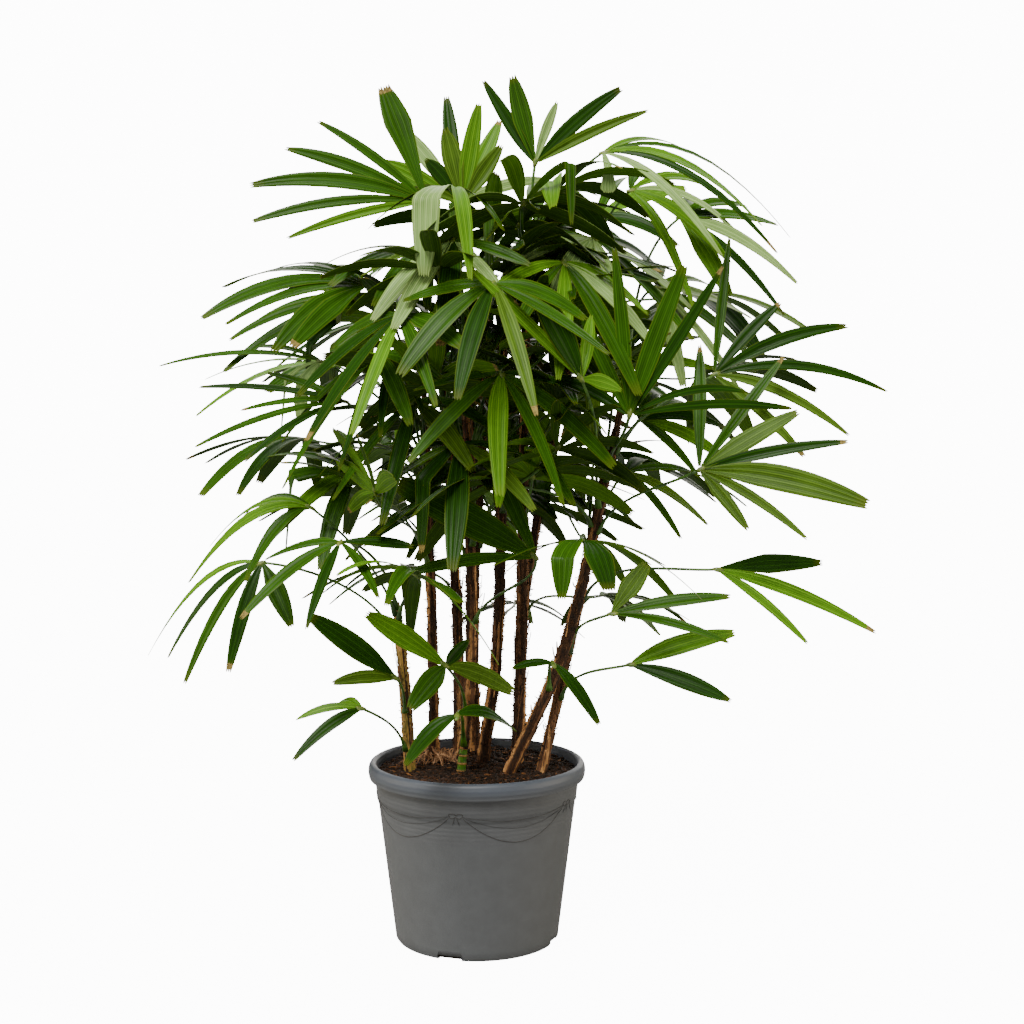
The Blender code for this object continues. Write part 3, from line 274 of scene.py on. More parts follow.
# Blades measured leaf by leaf, for the first frond of that name: each leaflet's angle from the
# blade's middle towards its side, then its length, width and droop.
MEASURED = {
    "frond_top_1": ((-38, 0.20, 0.015, 0.40), (-25, 0.25, 0.017, 0.50), (-10, 0.27, 0.025, 0.60),
                    (0, 0.235, 0.021, 0.40), (15, 0.215, 0.016, 0.30), (43, 0.19, 0.044, 0.05)),
    "frond_top_2": ((-30, 0.13, 0.022, 1.20), (-10, 0.11, 0.026, 0.50), (11, 0.13, 0.032, 0.20),
                    (29, 0.165, 0.028, 0.10), (53, 0.12, 0.026, 0.20)),
    "frond_top_3": ((-72, 0.09, 0.030, 1.50), (-31, 0.155, 0.024, 2.20), (6, 0.175, 0.044, 2.30),
                    (60, 0.12, 0.020, 1.20)),
    "frond_top_5": ((-47, 0.155, 0.021, 0.05), (-31, 0.14, 0.031, 0.05), (2, 0.10, 0.016, 0.10),
                    (28, 0.19, 0.024, 0.35), (45, 0.20, 0.018, 0.35)),
    "frond_top_7": ((-36, 0.15, 0.020, 0.80), (-16, 0.305, 0.018, 1.50), (0, 0.24, 0.028, 1.35),
                    (16, 0.26, 0.016, 1.20), (38, 0.20, 0.018, 1.20), (76, 0.055, 0.044, 2.40)),
    "frond_right_1": ((-62, 0.14, 0.018, 0.50), (-36, 0.18, 0.022, 0.20), (-14, 0.24, 0.021, 0.05),
                      (8, 0.225, 0.029, 0.05), (23, 0.25, 0.019, 0.08), (48, 0.20, 0.012, 0.80),
                      (67, 0.23, 0.014, 0.35)),
    "frond_right_2": ((-58, 0.23, 0.016, 0.03), (-29, 0.17, 0.020, 0.25), (-10, 0.24, 0.022, 0.45),
                      (8, 0.27, 0.017, 0.75), (30, 0.20, 0.017, 0.80), (60, 0.16, 0.018, 0.45)),
    "frond_right_3": ((-66, 0.20, 0.021, 0.03), (-31, 0.22, 0.019, 0.10), (-10, 0.17, 0.030, 0.10),
                      (8, 0.225, 0.019, 0.30), (27, 0.24, 0.040, 0.35), (48, 0.17, 0.016, 0.40),
                      (72, 0.10, 0.020, 0.40)),
    "frond_right_5": ((-18, 0.16, 0.034, 0.15), (5, 0.235, 0.023, 0.45), (25, 0.15, 0.016, 0.50)),
    "frond_right_6": ((-55, 0.10, 0.034, 0.10), (-12, 0.18, 0.022, 0.30), (8, 0.17, 0.015, 0.40)),
    "frond_right_7": ((-24, 0.17, 0.032, 0.25), (16, 0.15, 0.027, 0.30)),
    "frond_middle_1": ((-100, 0.10, 0.018, 0.60), (-70, 0.165, 0.020, 1.10), (-18, 0.080, 0.044, 1.90),
                       (32, 0.115, 0.036, 1.60), (80, 0.125, 0.020, 0.55)),
    "frond_middle_2": ((-38, 0.20, 0.020, 0.40), (-10, 0.24, 0.052, 0.15), (28, 0.18, 0.028, 0.10)),
    "frond_middle_3": ((-9, 0.22, 0.019, 0.05), (13, 0.15, 0.040, 0.25), (48, 0.11, 0.020, 0.30),
                       (120, 0.06, 0.024, 0.60)),
    "frond_left_2": ((-45, 0.15, 0.016, 0.90), (-24, 0.22, 0.022, 0.90), (-8, 0.21, 0.021, 0.80),
                     (8, 0.18, 0.014, 0.90), (24, 0.22, 0.017, 1.00), (62, 0.09, 0.026, 1.60)),
    "frond_left_4": ((-46, 0.09, 0.030, 2.60), (-18, 0.13, 0.014, 2.40), (4, 0.25, 0.014, 0.50),
                     (28, 0.15, 0.016, 0.60)),
    "frond_left_5": ((-36, 0.17, 0.015, 0.50), (-20, 0.22, 0.014, 0.50), (-5, 0.15, 0.014, 0.40),
                     (9, 0.22, 0.015, 0.35), (28, 0.14, 0.017, 0.30)),
    "frond_left_6": ((-62, 0.15, 0.030, 0.40), (-10, 0.11, 0.020, 0.30), (34, 0.135, 0.024, 0.30),
                     (62, 0.125, 0.038, 0.30), (96, 0.12, 0.022, 0.50)),
    "frond_left_9": ((-100, 0.095, 0.032, 0.50), (-45, 0.11, 0.024, 1.30), (-6, 0.13, 0.018, 2.00),
                     (19, 0.15, 0.014, 1.80), (36, 0.195, 0.014, 1.90)),
    "frond_left_10": ((-34, 0.11, 0.024, 2.00), (-13, 0.19, 0.026, 1.70), (5, 0.17, 0.018, 1.60),
                      (24, 0.15, 0.016, 1.50)),
    "frond_low_1": ((-24, 0.10, 0.022, 0.50), (6, 0.165, 0.038, 0.10)),
    "frond_low_2": ((-79, 0.075, 0.034, 0.40), (-3, 0.145, 0.034, 0.15), (91, 0.06, 0.020, 0.20),
                    (145, 0.105, 0.030, 0.50)),
    "frond_low_3": ((-28, 0.11, 0.020, 0.80), (6, 0.10, 0.014, 0.80), (44, 0.06, 0.016, 1.20)),
    "frond_low_4": ((-120, 0.09, 0.036, 1.10), (60, 0.080, 0.034, 1.10)),
    "frond_low_5": ((-30, 0.09, 0.024, 0.80), (108, 0.06, 0.018, 0.60)),
}

# Leaflets: the stations along one, its size against its frond's, and how freely it is dealt.
# A measured blade's leaflets get only a share of the freedom in bend, sway and twist.
STATIONS = (0.03, 0.08, 0.14, 0.21, 0.29, 0.38, 0.48, 0.58, 0.68, 0.77, 0.85, 0.91, 0.955, 1.0)
MIDRIB_STEPS = 80
LEAFLET_WIDTH_SHARE = 0.165
LEAFLET_WIDEST = 0.044
BROAD_LEAFLET = 0.028
BLADE_THICKNESS = 0.0006
WIDTH_RANGE = (0.55, 1.15)
LENGTH_RANGE = (0.85, 1.10)
DROOP_RANGE = (0.8, 1.7)
OUTER_SHORTENING = 0.25
FAN_UNEVENNESS = 0.12
MEASURED_FREEDOM = 0.4
SWAY = 0.10
TWIST = 24.0

# Outline of a leaflet: its root and end as shares of its half width, where along it the belly
# lies, and in metres the least room that its neighbours leave it by the hub
ROOT_SHARE = 0.10
END_RANGE = (0.24, 0.42)
BROAD_END_EXTRA = 0.07
BELLY_RANGE = (0.38, 0.58)
NARROWEST_ROOM = 0.0016

# Relief across a leaflet: its fold along the midrib in degrees, its sag, its pleats and its teeth
FOLD_RANGE = (8.0, 24.0)
FOLD_EASING = 0.8
MOST_SAG = 6.0
PLEAT_WIDTH = 0.0095
MOST_PLEATS = 5
PLEAT_COLUMNS = 4
PLEAT_RISE = 0.0008
FULL_RELIEF_HALF = 0.008
TOOTH = 0.0045
TOOTH_SHARE = 0.04

# Bent leaflets: how many there are, where along them they bend, over what length, and how their
# ends hang. One measured with more droop than BENT_DROOP is always bent. Last, the dry tips' share.
BENT_SHARE = 0.05
BENT_DROOP = 2.2
BEND_RANGE = (0.35, 0.75)
MEASURED_BEND = 0.42
BEND_LENGTH = 0.035
FALL = 1.1
FALL_DRIFT = 0.12
DRY_TIP_SHARE = 0.12

# Stalks: steps along one, its radius and swollen foot, how it leaves and arrives as shares of its
# reach, and the crest at its hub as places along the blade's middle, each with half a width and
# half a height
STALK_STEPS = 16
STALK_SIDES = 8
STALK_RADIUS = 0.0027
STALK_FLATNESS = 0.8
STALK_SWELLING = 1.3
STALK_SUNK = 0.001
STALK_LEAN = 0.35
STALK_LEAVE = 0.35
STALK_ARRIVE = 0.30
CREST = ((-0.006, 0.0019, 0.0016), (0.0, 0.0042, 0.0018), (0.006, 0.0046, 0.0014),
         (0.011, 0.0018, 0.0008))

# Fronds inside the crown: how low they start and how far apart, the spans they are dealt from, and
# the box that holds them, its upper left cut off where the crown stands open
INNER_LOWEST = 0.60
INNER_PITCH = 0.055
INNER_BELOW_TOP = 0.02
INNER_TRIES = 12
INNER_SPACING = (0.8, 1.3)
INNER_REACHES = (0.06, 0.17)
INNER_LIFTS = (0.07, 0.16)
INNER_RISES = (-5.0, 45.0)
INNER_ROLLS = (-25.0, 25.0)
INNER_COUNTS = (5, 6, 7)
INNER_SPREADS = (130.0, 210.0)
INNER_LENGTHS = (0.15, 0.22)
INNER_DROOPS = (0.4, 0.8)
CROWN_CORE = ((-0.27, -0.26, 0.60), (0.30, 0.42, 1.20))
CROWN_SHOULDER = 0.95
CROWN_SLOPE = 1.1

# Leaf colours: name, two shades of the blade, its veins, then roughness
LEAF_TONES = (
    ("deep", "#0a1e02", "#122e03", "#264c0a", 0.36),
    ("mid", "#142e03", "#1f4205", "#3a6212", 0.36),
    ("fresh", "#264e05", "#3a6808", "#669420", 0.40),
    ("olive", "#213808", "#334f0d", "#5a7a26", 0.42),
    # The pale grey-green tone next is painted sheen: bright light glancing off sky-facing and bent leaflets
    ("painted_sheen", "#4c6e30", "#6c904c", "#9cb874", 0.36),
)
UNDERSIDE_TONES = (
    ("dull", "#1a3006", "#28440c", "#42621a", 0.55),
    ("bright", "#2c5006", "#3e6a0c", "#628a2a", 0.55),
)
YELLOWED = "#6e6c1a"
MARGIN_GREEN = "#7c8e28"

# How often each of those colours is dealt, by the place in the crown and for the undersides
# The top's large share of the pale tone is painted sheen, and the inside's large share of the deep tone is
# painted shade
LEAF_MIX = {
    "outer": (0.34, 0.36, 0.18, 0.12, 0.0),
    "top": (0.16, 0.24, 0.18, 0.10, 0.32),
    "inner": (0.72, 0.22, 0.03, 0.03, 0.0),
}
UNDERSIDE_MIX = (0.7, 0.3)

# Leaf surface. The pattern's unit across a blade is one pleat, and its veins are drawn at three to
# a pleat, fewer than the real ones, which would be too fine to show.
VEINS_TO_PLEAT = 3.0
RIB_SHARPNESS = 2.5
VEIN_CONTRAST = 0.35
VEIN_LEAST = 0.10
LEAF_PATCH = 0.045
LEAF_SPECULAR = 0.09

# Pot plastic: the mould's grain and the folds in metres, the folds' strength from the swags'
# level up, and the stretch and colours of the rubs and the rim
MOULD_GRAIN = 0.0016
FOLD_PITCH = 0.007
FOLD_STRENGTH = 0.35
RUB_STRETCH = (30.0, 30.0, 160.0)
RUB_GREY = "#6c6e70"
RIM_BLUE = "#414852"

# Peat and dried sheath: crumbs and fibres in metres, then breaks and wear per metre
PEAT_GRAIN = 0.004
FIBRE_WIDTH = 0.0011
FIBRE_BREAKS = 80.0
SHEATH_WEAR = (150.0, 150.0, 55.0)

# Refraction of moulded plastic, of living and dried plant, and of peat and paper
PLASTIC_IOR = 1.49
PLANT_IOR = 1.45
MATT_IOR = 1.4

# A wave texture's scale for one band to a unit
WAVE_UNIT = math.tau / 20

# Studio: a dim room, a broad lamp from above and the front, one from each side and from behind,
# and a white ground. Lamps: name, strength, spread in degrees, way towards it, colour.
ROOM_LIGHT = 0.16
SEEN_WHITE = 13.0
FLOOR_GLOW = 12.2
FLOOR_REACH = 40.0
SUNS = (
    ("key_lamp", 6.2, 32.0, (-0.30, -0.62, 1.0), "#fffaf2"),
    ("right_lamp", 2.6, 50.0, (1.0, -0.10, 0.15), "#fff0d4"),
    ("left_lamp", 2.2, 50.0, (-1.0, -0.10, 0.15), "#fff0d4"),
    ("back_lamp", 2.6, 60.0, (0.15, 1.0, 0.55), "#fffaf2"),
)

# Camera, where the photograph was taken from
CAMERA_PLACE = (0.055, -2.44, 0.84)
CAMERA_AIM = (0.055, 0.0, 0.669)
CAMERA_LENS = 55.4
CAMERA_SENSOR = 36.0
CAMERA_REACH = 200.0


def srgb(code):
    """Linear colour from an sRGB hex value."""
    parts = [int(code[place:place + 2], 16) / 255 for place in (1, 3, 5)]
    return (*[p / 12.92 if p <= 0.04045 else ((p + 0.055) / 1.055) ** 2.4 for p in parts], 1.0)


def add(tree, kind, links=None, **settings):
    """Adds a node with its settings and its sockets' values or links."""
    made = tree.nodes.new(kind)
    for setting, value in settings.items():
        setattr(made, setting, value)
    for socket, value in (links or {}).items():
        if isinstance(value, bpy.types.NodeSocket):
            tree.links.new(value, made.inputs[socket])
        else:
            made.inputs[socket].default_value = value
    return made


def speckle(tree, place, scale, detail, roughness=0.5):
    """Noise from 0 to 1, its spots given as a scale per unit."""
    return add(tree, "ShaderNodeTexNoise", {"Vector": place, "Scale": scale, "Detail": detail,
                                            "Roughness": roughness}).outputs["Fac"]


def bands(tree, place, axis, rate, distortion, detail, detail_scale=1.0):
    """Wavering bands from 0 to 1 across an axis, so many to a unit."""
    return add(tree, "ShaderNodeTexWave", {"Vector": place, "Scale": WAVE_UNIT * rate,
                                           "Distortion": distortion, "Detail": detail,
                                           "Detail Scale": detail_scale},
               wave_type="BANDS", bands_direction=axis).outputs["Fac"]


def stretched(tree, place, scales):
    """Coordinates scaled by a number of their own along each axis."""
    return add(tree, "ShaderNodeMapping", {"Vector": place, "Scale": scales}).outputs["Vector"]


def graded(tree, value, low, high, most=1.0):
    """Zero below one value and the most above another, with a straight grade between."""
    return add(tree, "ShaderNodeMapRange", {0: value, 1: low, 2: high, 4: most}).outputs[0]


def reckoned(tree, operation, *values):
    """The result of one sum on sockets or numbers."""
    return add(tree, "ShaderNodeMath", dict(enumerate(values)), operation=operation).outputs[0]


def toned(tree, share, *tones):
    """A colour read off a ramp, given as places along it and the colours there."""
    made = add(tree, "ShaderNodeValToRGB", {"Fac": share})
    stops = made.color_ramp.elements
    while len(stops) < len(tones):
        stops.new(1.0)
    for stop, (place, colour) in zip(stops, tones):
        stop.position = place
        stop.color = srgb(colour)
    return made.outputs["Color"]


def mixed(tree, share, under, over):
    """One colour laid over another by a share."""
    return add(tree, "ShaderNodeMix", {0: share, 6: under, 7: over}, data_type="RGBA").outputs[2]


def bumped(tree, height, distance, strength, **normal):
    """A surface normal raised by a height, on top of another normal where one is given."""
    return add(tree, "ShaderNodeBump", {"Height": height, "Distance": distance,
                                        "Strength": strength, **normal}).outputs["Normal"]


def finish_of(name, roughness, ior):
    """A new material, its node tree and its shader."""
    finish = bpy.data.materials.new(name)
    finish.use_nodes = True
    shader = finish.node_tree.nodes["Principled BSDF"]
    shader.inputs["Roughness"].default_value = roughness
    shader.inputs["IOR"].default_value = ior
    return finish, finish.node_tree, shader


def dress(tree, shader, colour, normal):
    """Gives a shader its colour and its surface normal."""
    tree.links.new(colour, shader.inputs["Base Color"])
    tree.links.new(normal, shader.inputs["Normal"])


def moulded_polypropylene(name, base, worn, roughness):
    """Injection-moulded polypropylene with recycled filler: a dull slate grey, faintly mottled, with
    a bluer rim, a fine leathery grain from the mould, level folds behind the swags and a few rubs."""
    finish, tree, shader = finish_of(name, roughness, PLASTIC_IOR)
    place = add(tree, "ShaderNodeTexCoord").outputs["Object"]
    height = add(tree, "ShaderNodeSeparateXYZ", {0: place}).outputs["Z"]
    mottled = mixed(tree, speckle(tree, place, 38.0, 5.0, 0.62), srgb(base), srgb(worn))
    rubs = speckle(tree, stretched(tree, place, RUB_STRETCH), 1.0, 3.0)
    rubbed = toned(tree, rubs, (0.66, "#000000"), (0.74, "#585858"))
    wall = mixed(tree, rubbed, mottled, srgb(RUB_GREY))
    on_rim = graded(tree, height, POT_HEIGHT - RIM_DEPTH - 0.001, POT_HEIGHT - 0.012)
    colour = mixed(tree, on_rim, wall, srgb(RIM_BLUE))
    grain = bumped(tree, speckle(tree, place, 1 / MOULD_GRAIN, 2.0), 0.0003, 0.5)
    folds = bands(tree, place, "Z", 1 / FOLD_PITCH, 1.5, 2.0, 0.4)
    draped = graded(tree, height, SWAG_HEIGHT - 0.050, SWAG_HEIGHT - 0.030, FOLD_STRENGTH)
    dress(tree, shader, colour, bumped(tree, folds, 0.0006, draped, Normal=grain))
    return finish


def potting_peat(name, dark, light, roughness):
    """Damp peat and composted bark: near black, with brown where crumbs have dried, and no shine."""
    finish, tree, shader = finish_of(name, roughness, MATT_IOR)
    place = add(tree, "ShaderNodeTexCoord").outputs["Object"]
    crumbs = speckle(tree, place, 1 / PEAT_GRAIN, 4.0, 0.7)
    colour = toned(tree, crumbs, (0.35, dark), (0.72, light))
    dress(tree, shader, colour, bumped(tree, crumbs, 0.001, 0.8))
    return finish


def sheath_fibre(name, dark, light, roughness):
    """Dried leaf sheath, a net of coarse fibres lying along the cane: streaks a millimetre wide
    that run lengthwise and break up every centimetre or two, with deep dark gaps between them."""
    finish, tree, shader = finish_of(name, roughness, PLANT_IOR)
    place = add(tree, "ShaderNodeTexCoord").outputs["Object"]
    along = stretched(tree, place, (1 / FIBRE_WIDTH, 1 / FIBRE_WIDTH, FIBRE_BREAKS))
    fibres = speckle(tree, along, 1.0, 3.0)
    worn = speckle(tree, stretched(tree, place, SHEATH_WEAR), 1.0, 4.0)
    both = add(tree, "ShaderNodeMix", {0: 0.5, 2: fibres, 3: worn}).outputs[0]
    colour = toned(tree, both, (0.40, dark), (0.60, light))
    dress(tree, shader, colour, bumped(tree, fibres, 0.0008, 0.7))
    return finish


def palm_leaf(name, dark, light, vein, roughness):
    """A ribbed palm leaflet with a thin wax coat: satin, with fine paler veins along it, a pale
    thread at the margins and a yellowed root and tip."""
    finish, tree, shader = finish_of(name, roughness, PLANT_IOR)
    shader.inputs["Specular IOR Level"].default_value = LEAF_SPECULAR
    place = add(tree, "ShaderNodeTexCoord").outputs["Object"]
    patches = speckle(tree, place, 1 / LEAF_PATCH, 2.0)
    tone = toned(tree, patches, (0.34, dark), (0.66, light))

    # Fine veins run along the blade, drawn stronger along one rib to a pleat
    blade = add(tree, "ShaderNodeUVMap", uv_map="blade").outputs["UV"]
    fine = bands(tree, blade, "X", VEINS_TO_PLEAT, 0.4, 1.0)
    main = bands(tree, blade, "X", 1.0, 0.3, 1.0)
    ribs = reckoned(tree, "POWER", main, RIB_SHARPNESS)
    veins = reckoned(tree, "MULTIPLY_ADD", fine, VEIN_CONTRAST, VEIN_LEAST)
    veined = mixed(tree, reckoned(tree, "MULTIPLY_ADD", ribs, veins, veins), tone, srgb(vein))

    length = add(tree, "ShaderNodeSeparateXYZ", {0: blade}).outputs["Y"]
    ends = toned(tree, length, (0.0, "#909090"), (0.06, "#000000"), (0.92, "#000000"), (1.0, "#8a8a8a"))
    ended = mixed(tree, ends, veined, srgb(YELLOWED))
    margin = add(tree, "ShaderNodeAttribute", attribute_name="margin").outputs["Fac"]
    thread = toned(tree, margin, (0.86, "#000000"), (0.98, "#8c8c8c"))
    colour = mixed(tree, thread, ended, srgb(MARGIN_GREEN))
    dress(tree, shader, colour, bumped(tree, main, 0.0003, 0.25))
    return finish


def plant_skin(name, dark, light, scale, roughness):
    """A stalk, root or dry tip: one living or dried skin, shading from one tone to another."""
    finish, tree, shader = finish_of(name, roughness, PLANT_IOR)
    place = add(tree, "ShaderNodeTexCoord").outputs["Object"]
    patches = speckle(tree, place, scale, 3.0)
    colour = toned(tree, patches, (0.35, dark), (0.65, light))
    dress(tree, shader, colour, bumped(tree, patches, 0.0003, 0.4))
    return finish


def make_finishes():
    """The finishes of leaves, stalks and canes, listed in the order of the numbers faces take."""
    tops = [palm_leaf(f"waxed_leaf_{name}", *tones) for name, *tones in LEAF_TONES]
    unders = [palm_leaf(f"leaf_underside_{name}", *tones) for name, *tones in UNDERSIDE_TONES]
    dry = plant_skin("dried_leaf_tip", "#5a4c1c", "#8a7a3a", 300.0, 0.8)
    return {
        "leaf": tops + unders + [dry],
        "stalk": [plant_skin("green_stalk", "#244410", "#4a7420", 60.0, 0.4),
                  plant_skin("pale_hub", "#3c5a14", "#6c7a2a", 200.0, 0.5)],
        "cane": [sheath_fibre("dark_sheath_fibre", "#170d07", "#44290f", 0.9),
                 sheath_fibre("brown_sheath_fibre", "#3a2412", "#7a5232", 0.85),
                 sheath_fibre("tan_sheath_fibre", "#8a5a2c", "#cf9c62", 0.8),
                 plant_skin("green_cane", "#2f5e0c", "#5a8c1a", 90.0, 0.45),
                 plant_skin("cane_node", "#3a4a10", "#75742c", 90.0, 0.6),
                 sheath_fibre("olive_young_sheath", "#5a5416", "#b08a44", 0.7)],
    }


def placed(name, data):
    """A new object in the scene."""
    thing = bpy.data.objects.new(name, data)
    bpy.context.scene.collection.objects.link(thing)
    return thing


def piece(name, mesh, finishes, slot_name, *nodes):
    """A finished piece at the origin: its materials, the body it rides on and what it stands for."""
    thing = placed(name, mesh)
    for finish in finishes:
        mesh.materials.append(finish)
    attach(thing, "root")
    if nodes:
        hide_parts(*nodes)
    return thing


def mesh_from(name, bm, sharp=None):
    """A mesh from a bmesh, turned outwards and shaded smooth."""
    bmesh.ops.recalc_face_normals(bm, faces=bm.faces[:])
    mesh = bpy.data.meshes.new(name)
    bm.to_mesh(mesh)
    bm.free()
    mesh.shade_smooth()
    if sharp:
        mesh.set_sharp_from_angle(angle=math.radians(sharp))
    return mesh


def sweep(bm, places, sides):
    """A closed tube of unit circles carried through placing matrices by extrusion; returns its rings."""
    ring = bmesh.ops.create_circle(bm, cap_ends=True, radius=1.0, segments=sides, matrix=places[0])["verts"]
    edges = list({edge for vertex in ring for edge in vertex.link_edges})
    rings = [ring]
    for before, after in zip(places, places[1:]):
        grown = bmesh.ops.extrude_edge_only(bm, edges=edges)["geom"]
        ring = [part for part in grown if isinstance(part, bmesh.types.BMVert)]
        fresh = set(ring)
        edges = [part for part in grown if isinstance(part, bmesh.types.BMEdge)
                 and part.verts[0] in fresh and part.verts[1] in fresh]
        bmesh.ops.transform(bm, matrix=after @ before.inverted(), verts=ring)
        rings.append(ring)
    bmesh.ops.edgeloop_fill(bm, edges=edges)
    return rings


def placing(centre, along, side, wide, high):
    """The matrix that sets a unit circle across a path, stretched to half a width and a height."""
    up = along.cross(side)
    matrix = Matrix.Identity(4)
    matrix.col[0] = (*(side * wide), 0.0)
    matrix.col[1] = (*(up * high), 0.0)
    matrix.col[2] = (*(along * wide), 0.0)
    matrix.col[3] = (*centre, 1.0)
    return matrix


def level_way(turn):
    """The level direction at an angle from +X through +Y."""
    return Vector((math.cos(turn), math.sin(turn), 0.0))


def way_along(path, number):
    """The direction of a path at one of its points, from the point before to the one after."""
    after = path[min(number + 1, len(path) - 1)]
    before = path[max(number - 1, 0)]
    return (after - before).normalized()


def curve_through(points, count):
    """Points evenly shared along a smooth curve through the given points."""
    padded = [points[0] * 2 - points[1], *points, points[-1] * 2 - points[-2]]
    spans = len(points) - 1
    result = []
    for step in range(count + 1):
        place = min(step / count * spans, spans - 1e-6)
        span = int(place)
        t = place - span
        a, b, c, d = padded[span:span + 4]
        result.append(0.5 * (2 * b + (c - a) * t + (2 * a - 5 * b + 4 * c - d) * t * t
                             + (3 * b - a - 3 * c + d) * t * t * t))
    return result


def ribbon(path, outs, half, thick):
    """Rings of four points for a thin strip along a path, facing out and narrowed at its ends."""
    rings = []
    for number, centre in enumerate(path):
        along = way_along(path, number)
        out = (outs[number] - along * along.dot(outs[number])).normalized()
        side = along.cross(out)
        share = number / (len(path) - 1)
        wide = half * math.sin(math.pi * (0.08 + 0.84 * share)) ** 0.6
        rings.append([centre - side * wide, centre - side * wide * 0.3 + out * thick,
                      centre + side * wide * 0.3 + out * thick, centre + side * wide])
    return rings


class Batch:
    """Many small closed shapes gathered into one mesh."""

    def __init__(self):
        """Starts with no points, faces, face finishes or leaf patterns."""
        self.points = []
        self.faces = []
        self.shades = []
        self.blade = []
        self.margin = []
        self.count = 0

    def skin(self, rings):
        """Takes in rings of points; returns the points' numbers and the faces between the rings."""
        layers, sides = rings.shape[:2]
        index = np.arange(layers * sides).reshape(layers, sides) + self.count
        after = np.roll(index, -1, axis=1)
        self.points.append(rings.reshape(-1, 3))
        self.count += layers * sides
        return index, np.stack((index[:-1], after[:-1], after[1:], index[1:]), axis=-1)

    def loft(self, rings, shade):
        """A closed shape from rings of equally many points."""
        index, quads = self.skin(np.array([[tuple(point) for point in ring] for ring in rings]))
        self.faces += quads.reshape(-1, 4).tolist() + [index[0][::-1].tolist(), index[-1].tolist()]
        self.shades += [shade] * (quads.shape[0] * quads.shape[1] + 2)

    def leaflet(self, rings, columns, blade, margin, shades):
        """A leaflet from rings that go across its top and back across its underside."""
        top, under, dry = shades
        index, quads = self.skin(rings)
        tints = np.full(quads.shape[:2], top, dtype=np.int32)
        tints[:, columns:2 * columns - 1] = under
        if dry is not None:
            tints[-1, :] = dry
        gaps = columns - 1
        low, back = index[0], index[0][::-1]
        root = np.stack((low[:gaps], back[:gaps], back[1:columns], low[1:columns]), axis=-1)
        high, back = index[-1], index[-1][::-1]
        tip = np.stack((high[:gaps], high[1:columns], back[1:columns], back[:gaps]), axis=-1)
        self.faces += quads.reshape(-1, 4).tolist() + root.tolist() + tip.tolist()
        self.shades += tints.reshape(-1).tolist() + [top] * (2 * gaps)
        self.blade.append(blade.reshape(-1, 2))
        self.margin.append(margin.reshape(-1))

    def mesh(self, name):
        """The mesh of everything gathered, with the leaf pattern where leaflets were given."""
        mesh = bpy.data.meshes.new(name)
        mesh.from_pydata(np.concatenate(self.points), [], self.faces)
        mesh.polygons.foreach_set("material_index", np.array(self.shades, dtype=np.int32))
        if self.blade:
            corners = np.empty(len(mesh.loops), dtype=np.int32)
            mesh.loops.foreach_get("vertex_index", corners)
            layer = mesh.uv_layers.new(name="blade")
            layer.uv.foreach_set("vector", np.concatenate(self.blade)[corners].reshape(-1))
            margin = mesh.attributes.new("margin", "FLOAT", "POINT")
            margin.data.foreach_set("value", np.concatenate(self.margin))
        mesh.shade_smooth()
        mesh.set_sharp_from_angle(angle=math.radians(50))
        mesh.update()
        return mesh


def wall_radius(height):
    """Outer radius of the plain tapered wall at a height."""
    return POT_BASE_RADIUS + POT_TAPER * height


def spun(outline, steps):
    """A closed body of revolution about Z, as a bmesh."""
    bm = bmesh.new()
    points = [bm.verts.new((radius, 0.0, height)) for radius, height in outline]
    edges = [bm.edges.new(pair) for pair in zip(points, points[1:])]
    bmesh.ops.spin(bm, geom=points + edges, cent=(0, 0, 0), axis=UP, angle=math.tau, steps=steps,
                   use_merge=True)
    bmesh.ops.remove_doubles(bm, verts=bm.verts[:], dist=0.00002)
    bmesh.ops.recalc_face_normals(bm, faces=bm.faces[:])
    return bm


def pot_outline():
    """Half of the pot's section, from the middle of its foot round the rolled rim and back inside."""
    under_rim = POT_HEIGHT - RIM_DEPTH
    step = under_rim - STEP_BELOW_RIM
    inner_top = wall_radius(under_rim) - POT_WALL + STEP_DEPTH
    outline = [(0.0, 0.0), (FOOT_MIDDLE, 0.0)]
    outline += [(POT_BASE_RADIUS - inset, rise) for inset, rise in FOOT_EDGE]
    for row in range(WALL_ROWS + 1):
        height = FOOT_ROUNDING + (step - FOOT_ROUNDING) * row / WALL_ROWS
        outline.append((wall_radius(height), height))
    for height in (step + STEP_ROUNDING, step + STEP_MIDDLE, under_rim):
        outline.append((wall_radius(height) + STEP_DEPTH, height))
    outline += [(RIM_RADIUS - inset, under_rim + rise) for inset, rise in RIM_OUTSIDE]
    outline += [(RIM_RADIUS - inset, POT_HEIGHT - drop) for inset, drop in RIM_TOP]
    outline += [(inner_top + proud, POT_HEIGHT - drop) for proud, drop in RIM_INSIDE]
    outline += [(wall_radius(POT_FLOOR) - POT_WALL, POT_FLOOR), (0.0, POT_FLOOR)]
    return outline


def notch_cutter():
    """The blocks that cut the drain notches, as one object."""
    bm = bmesh.new()
    for count in range(NOTCH_COUNT):
        outward = level_way(math.radians(NOTCH_BEARING + 360.0 * count / NOTCH_COUNT))
        block = bmesh.ops.create_cube(bm, size=1.0)["verts"]
        bmesh.ops.scale(bm, vec=(2.0 * NOTCH_DEPTH, NOTCH_WIDTH, 2.0 * NOTCH_HEIGHT), verts=block)
        bmesh.ops.rotate(bm, matrix=outward.to_track_quat("X", "Z").to_matrix(), verts=block)
        bmesh.ops.translate(bm, vec=outward * POT_BASE_RADIUS, verts=block)
    return placed("notch_cutter", mesh_from("notch_cutter", bm, 30))


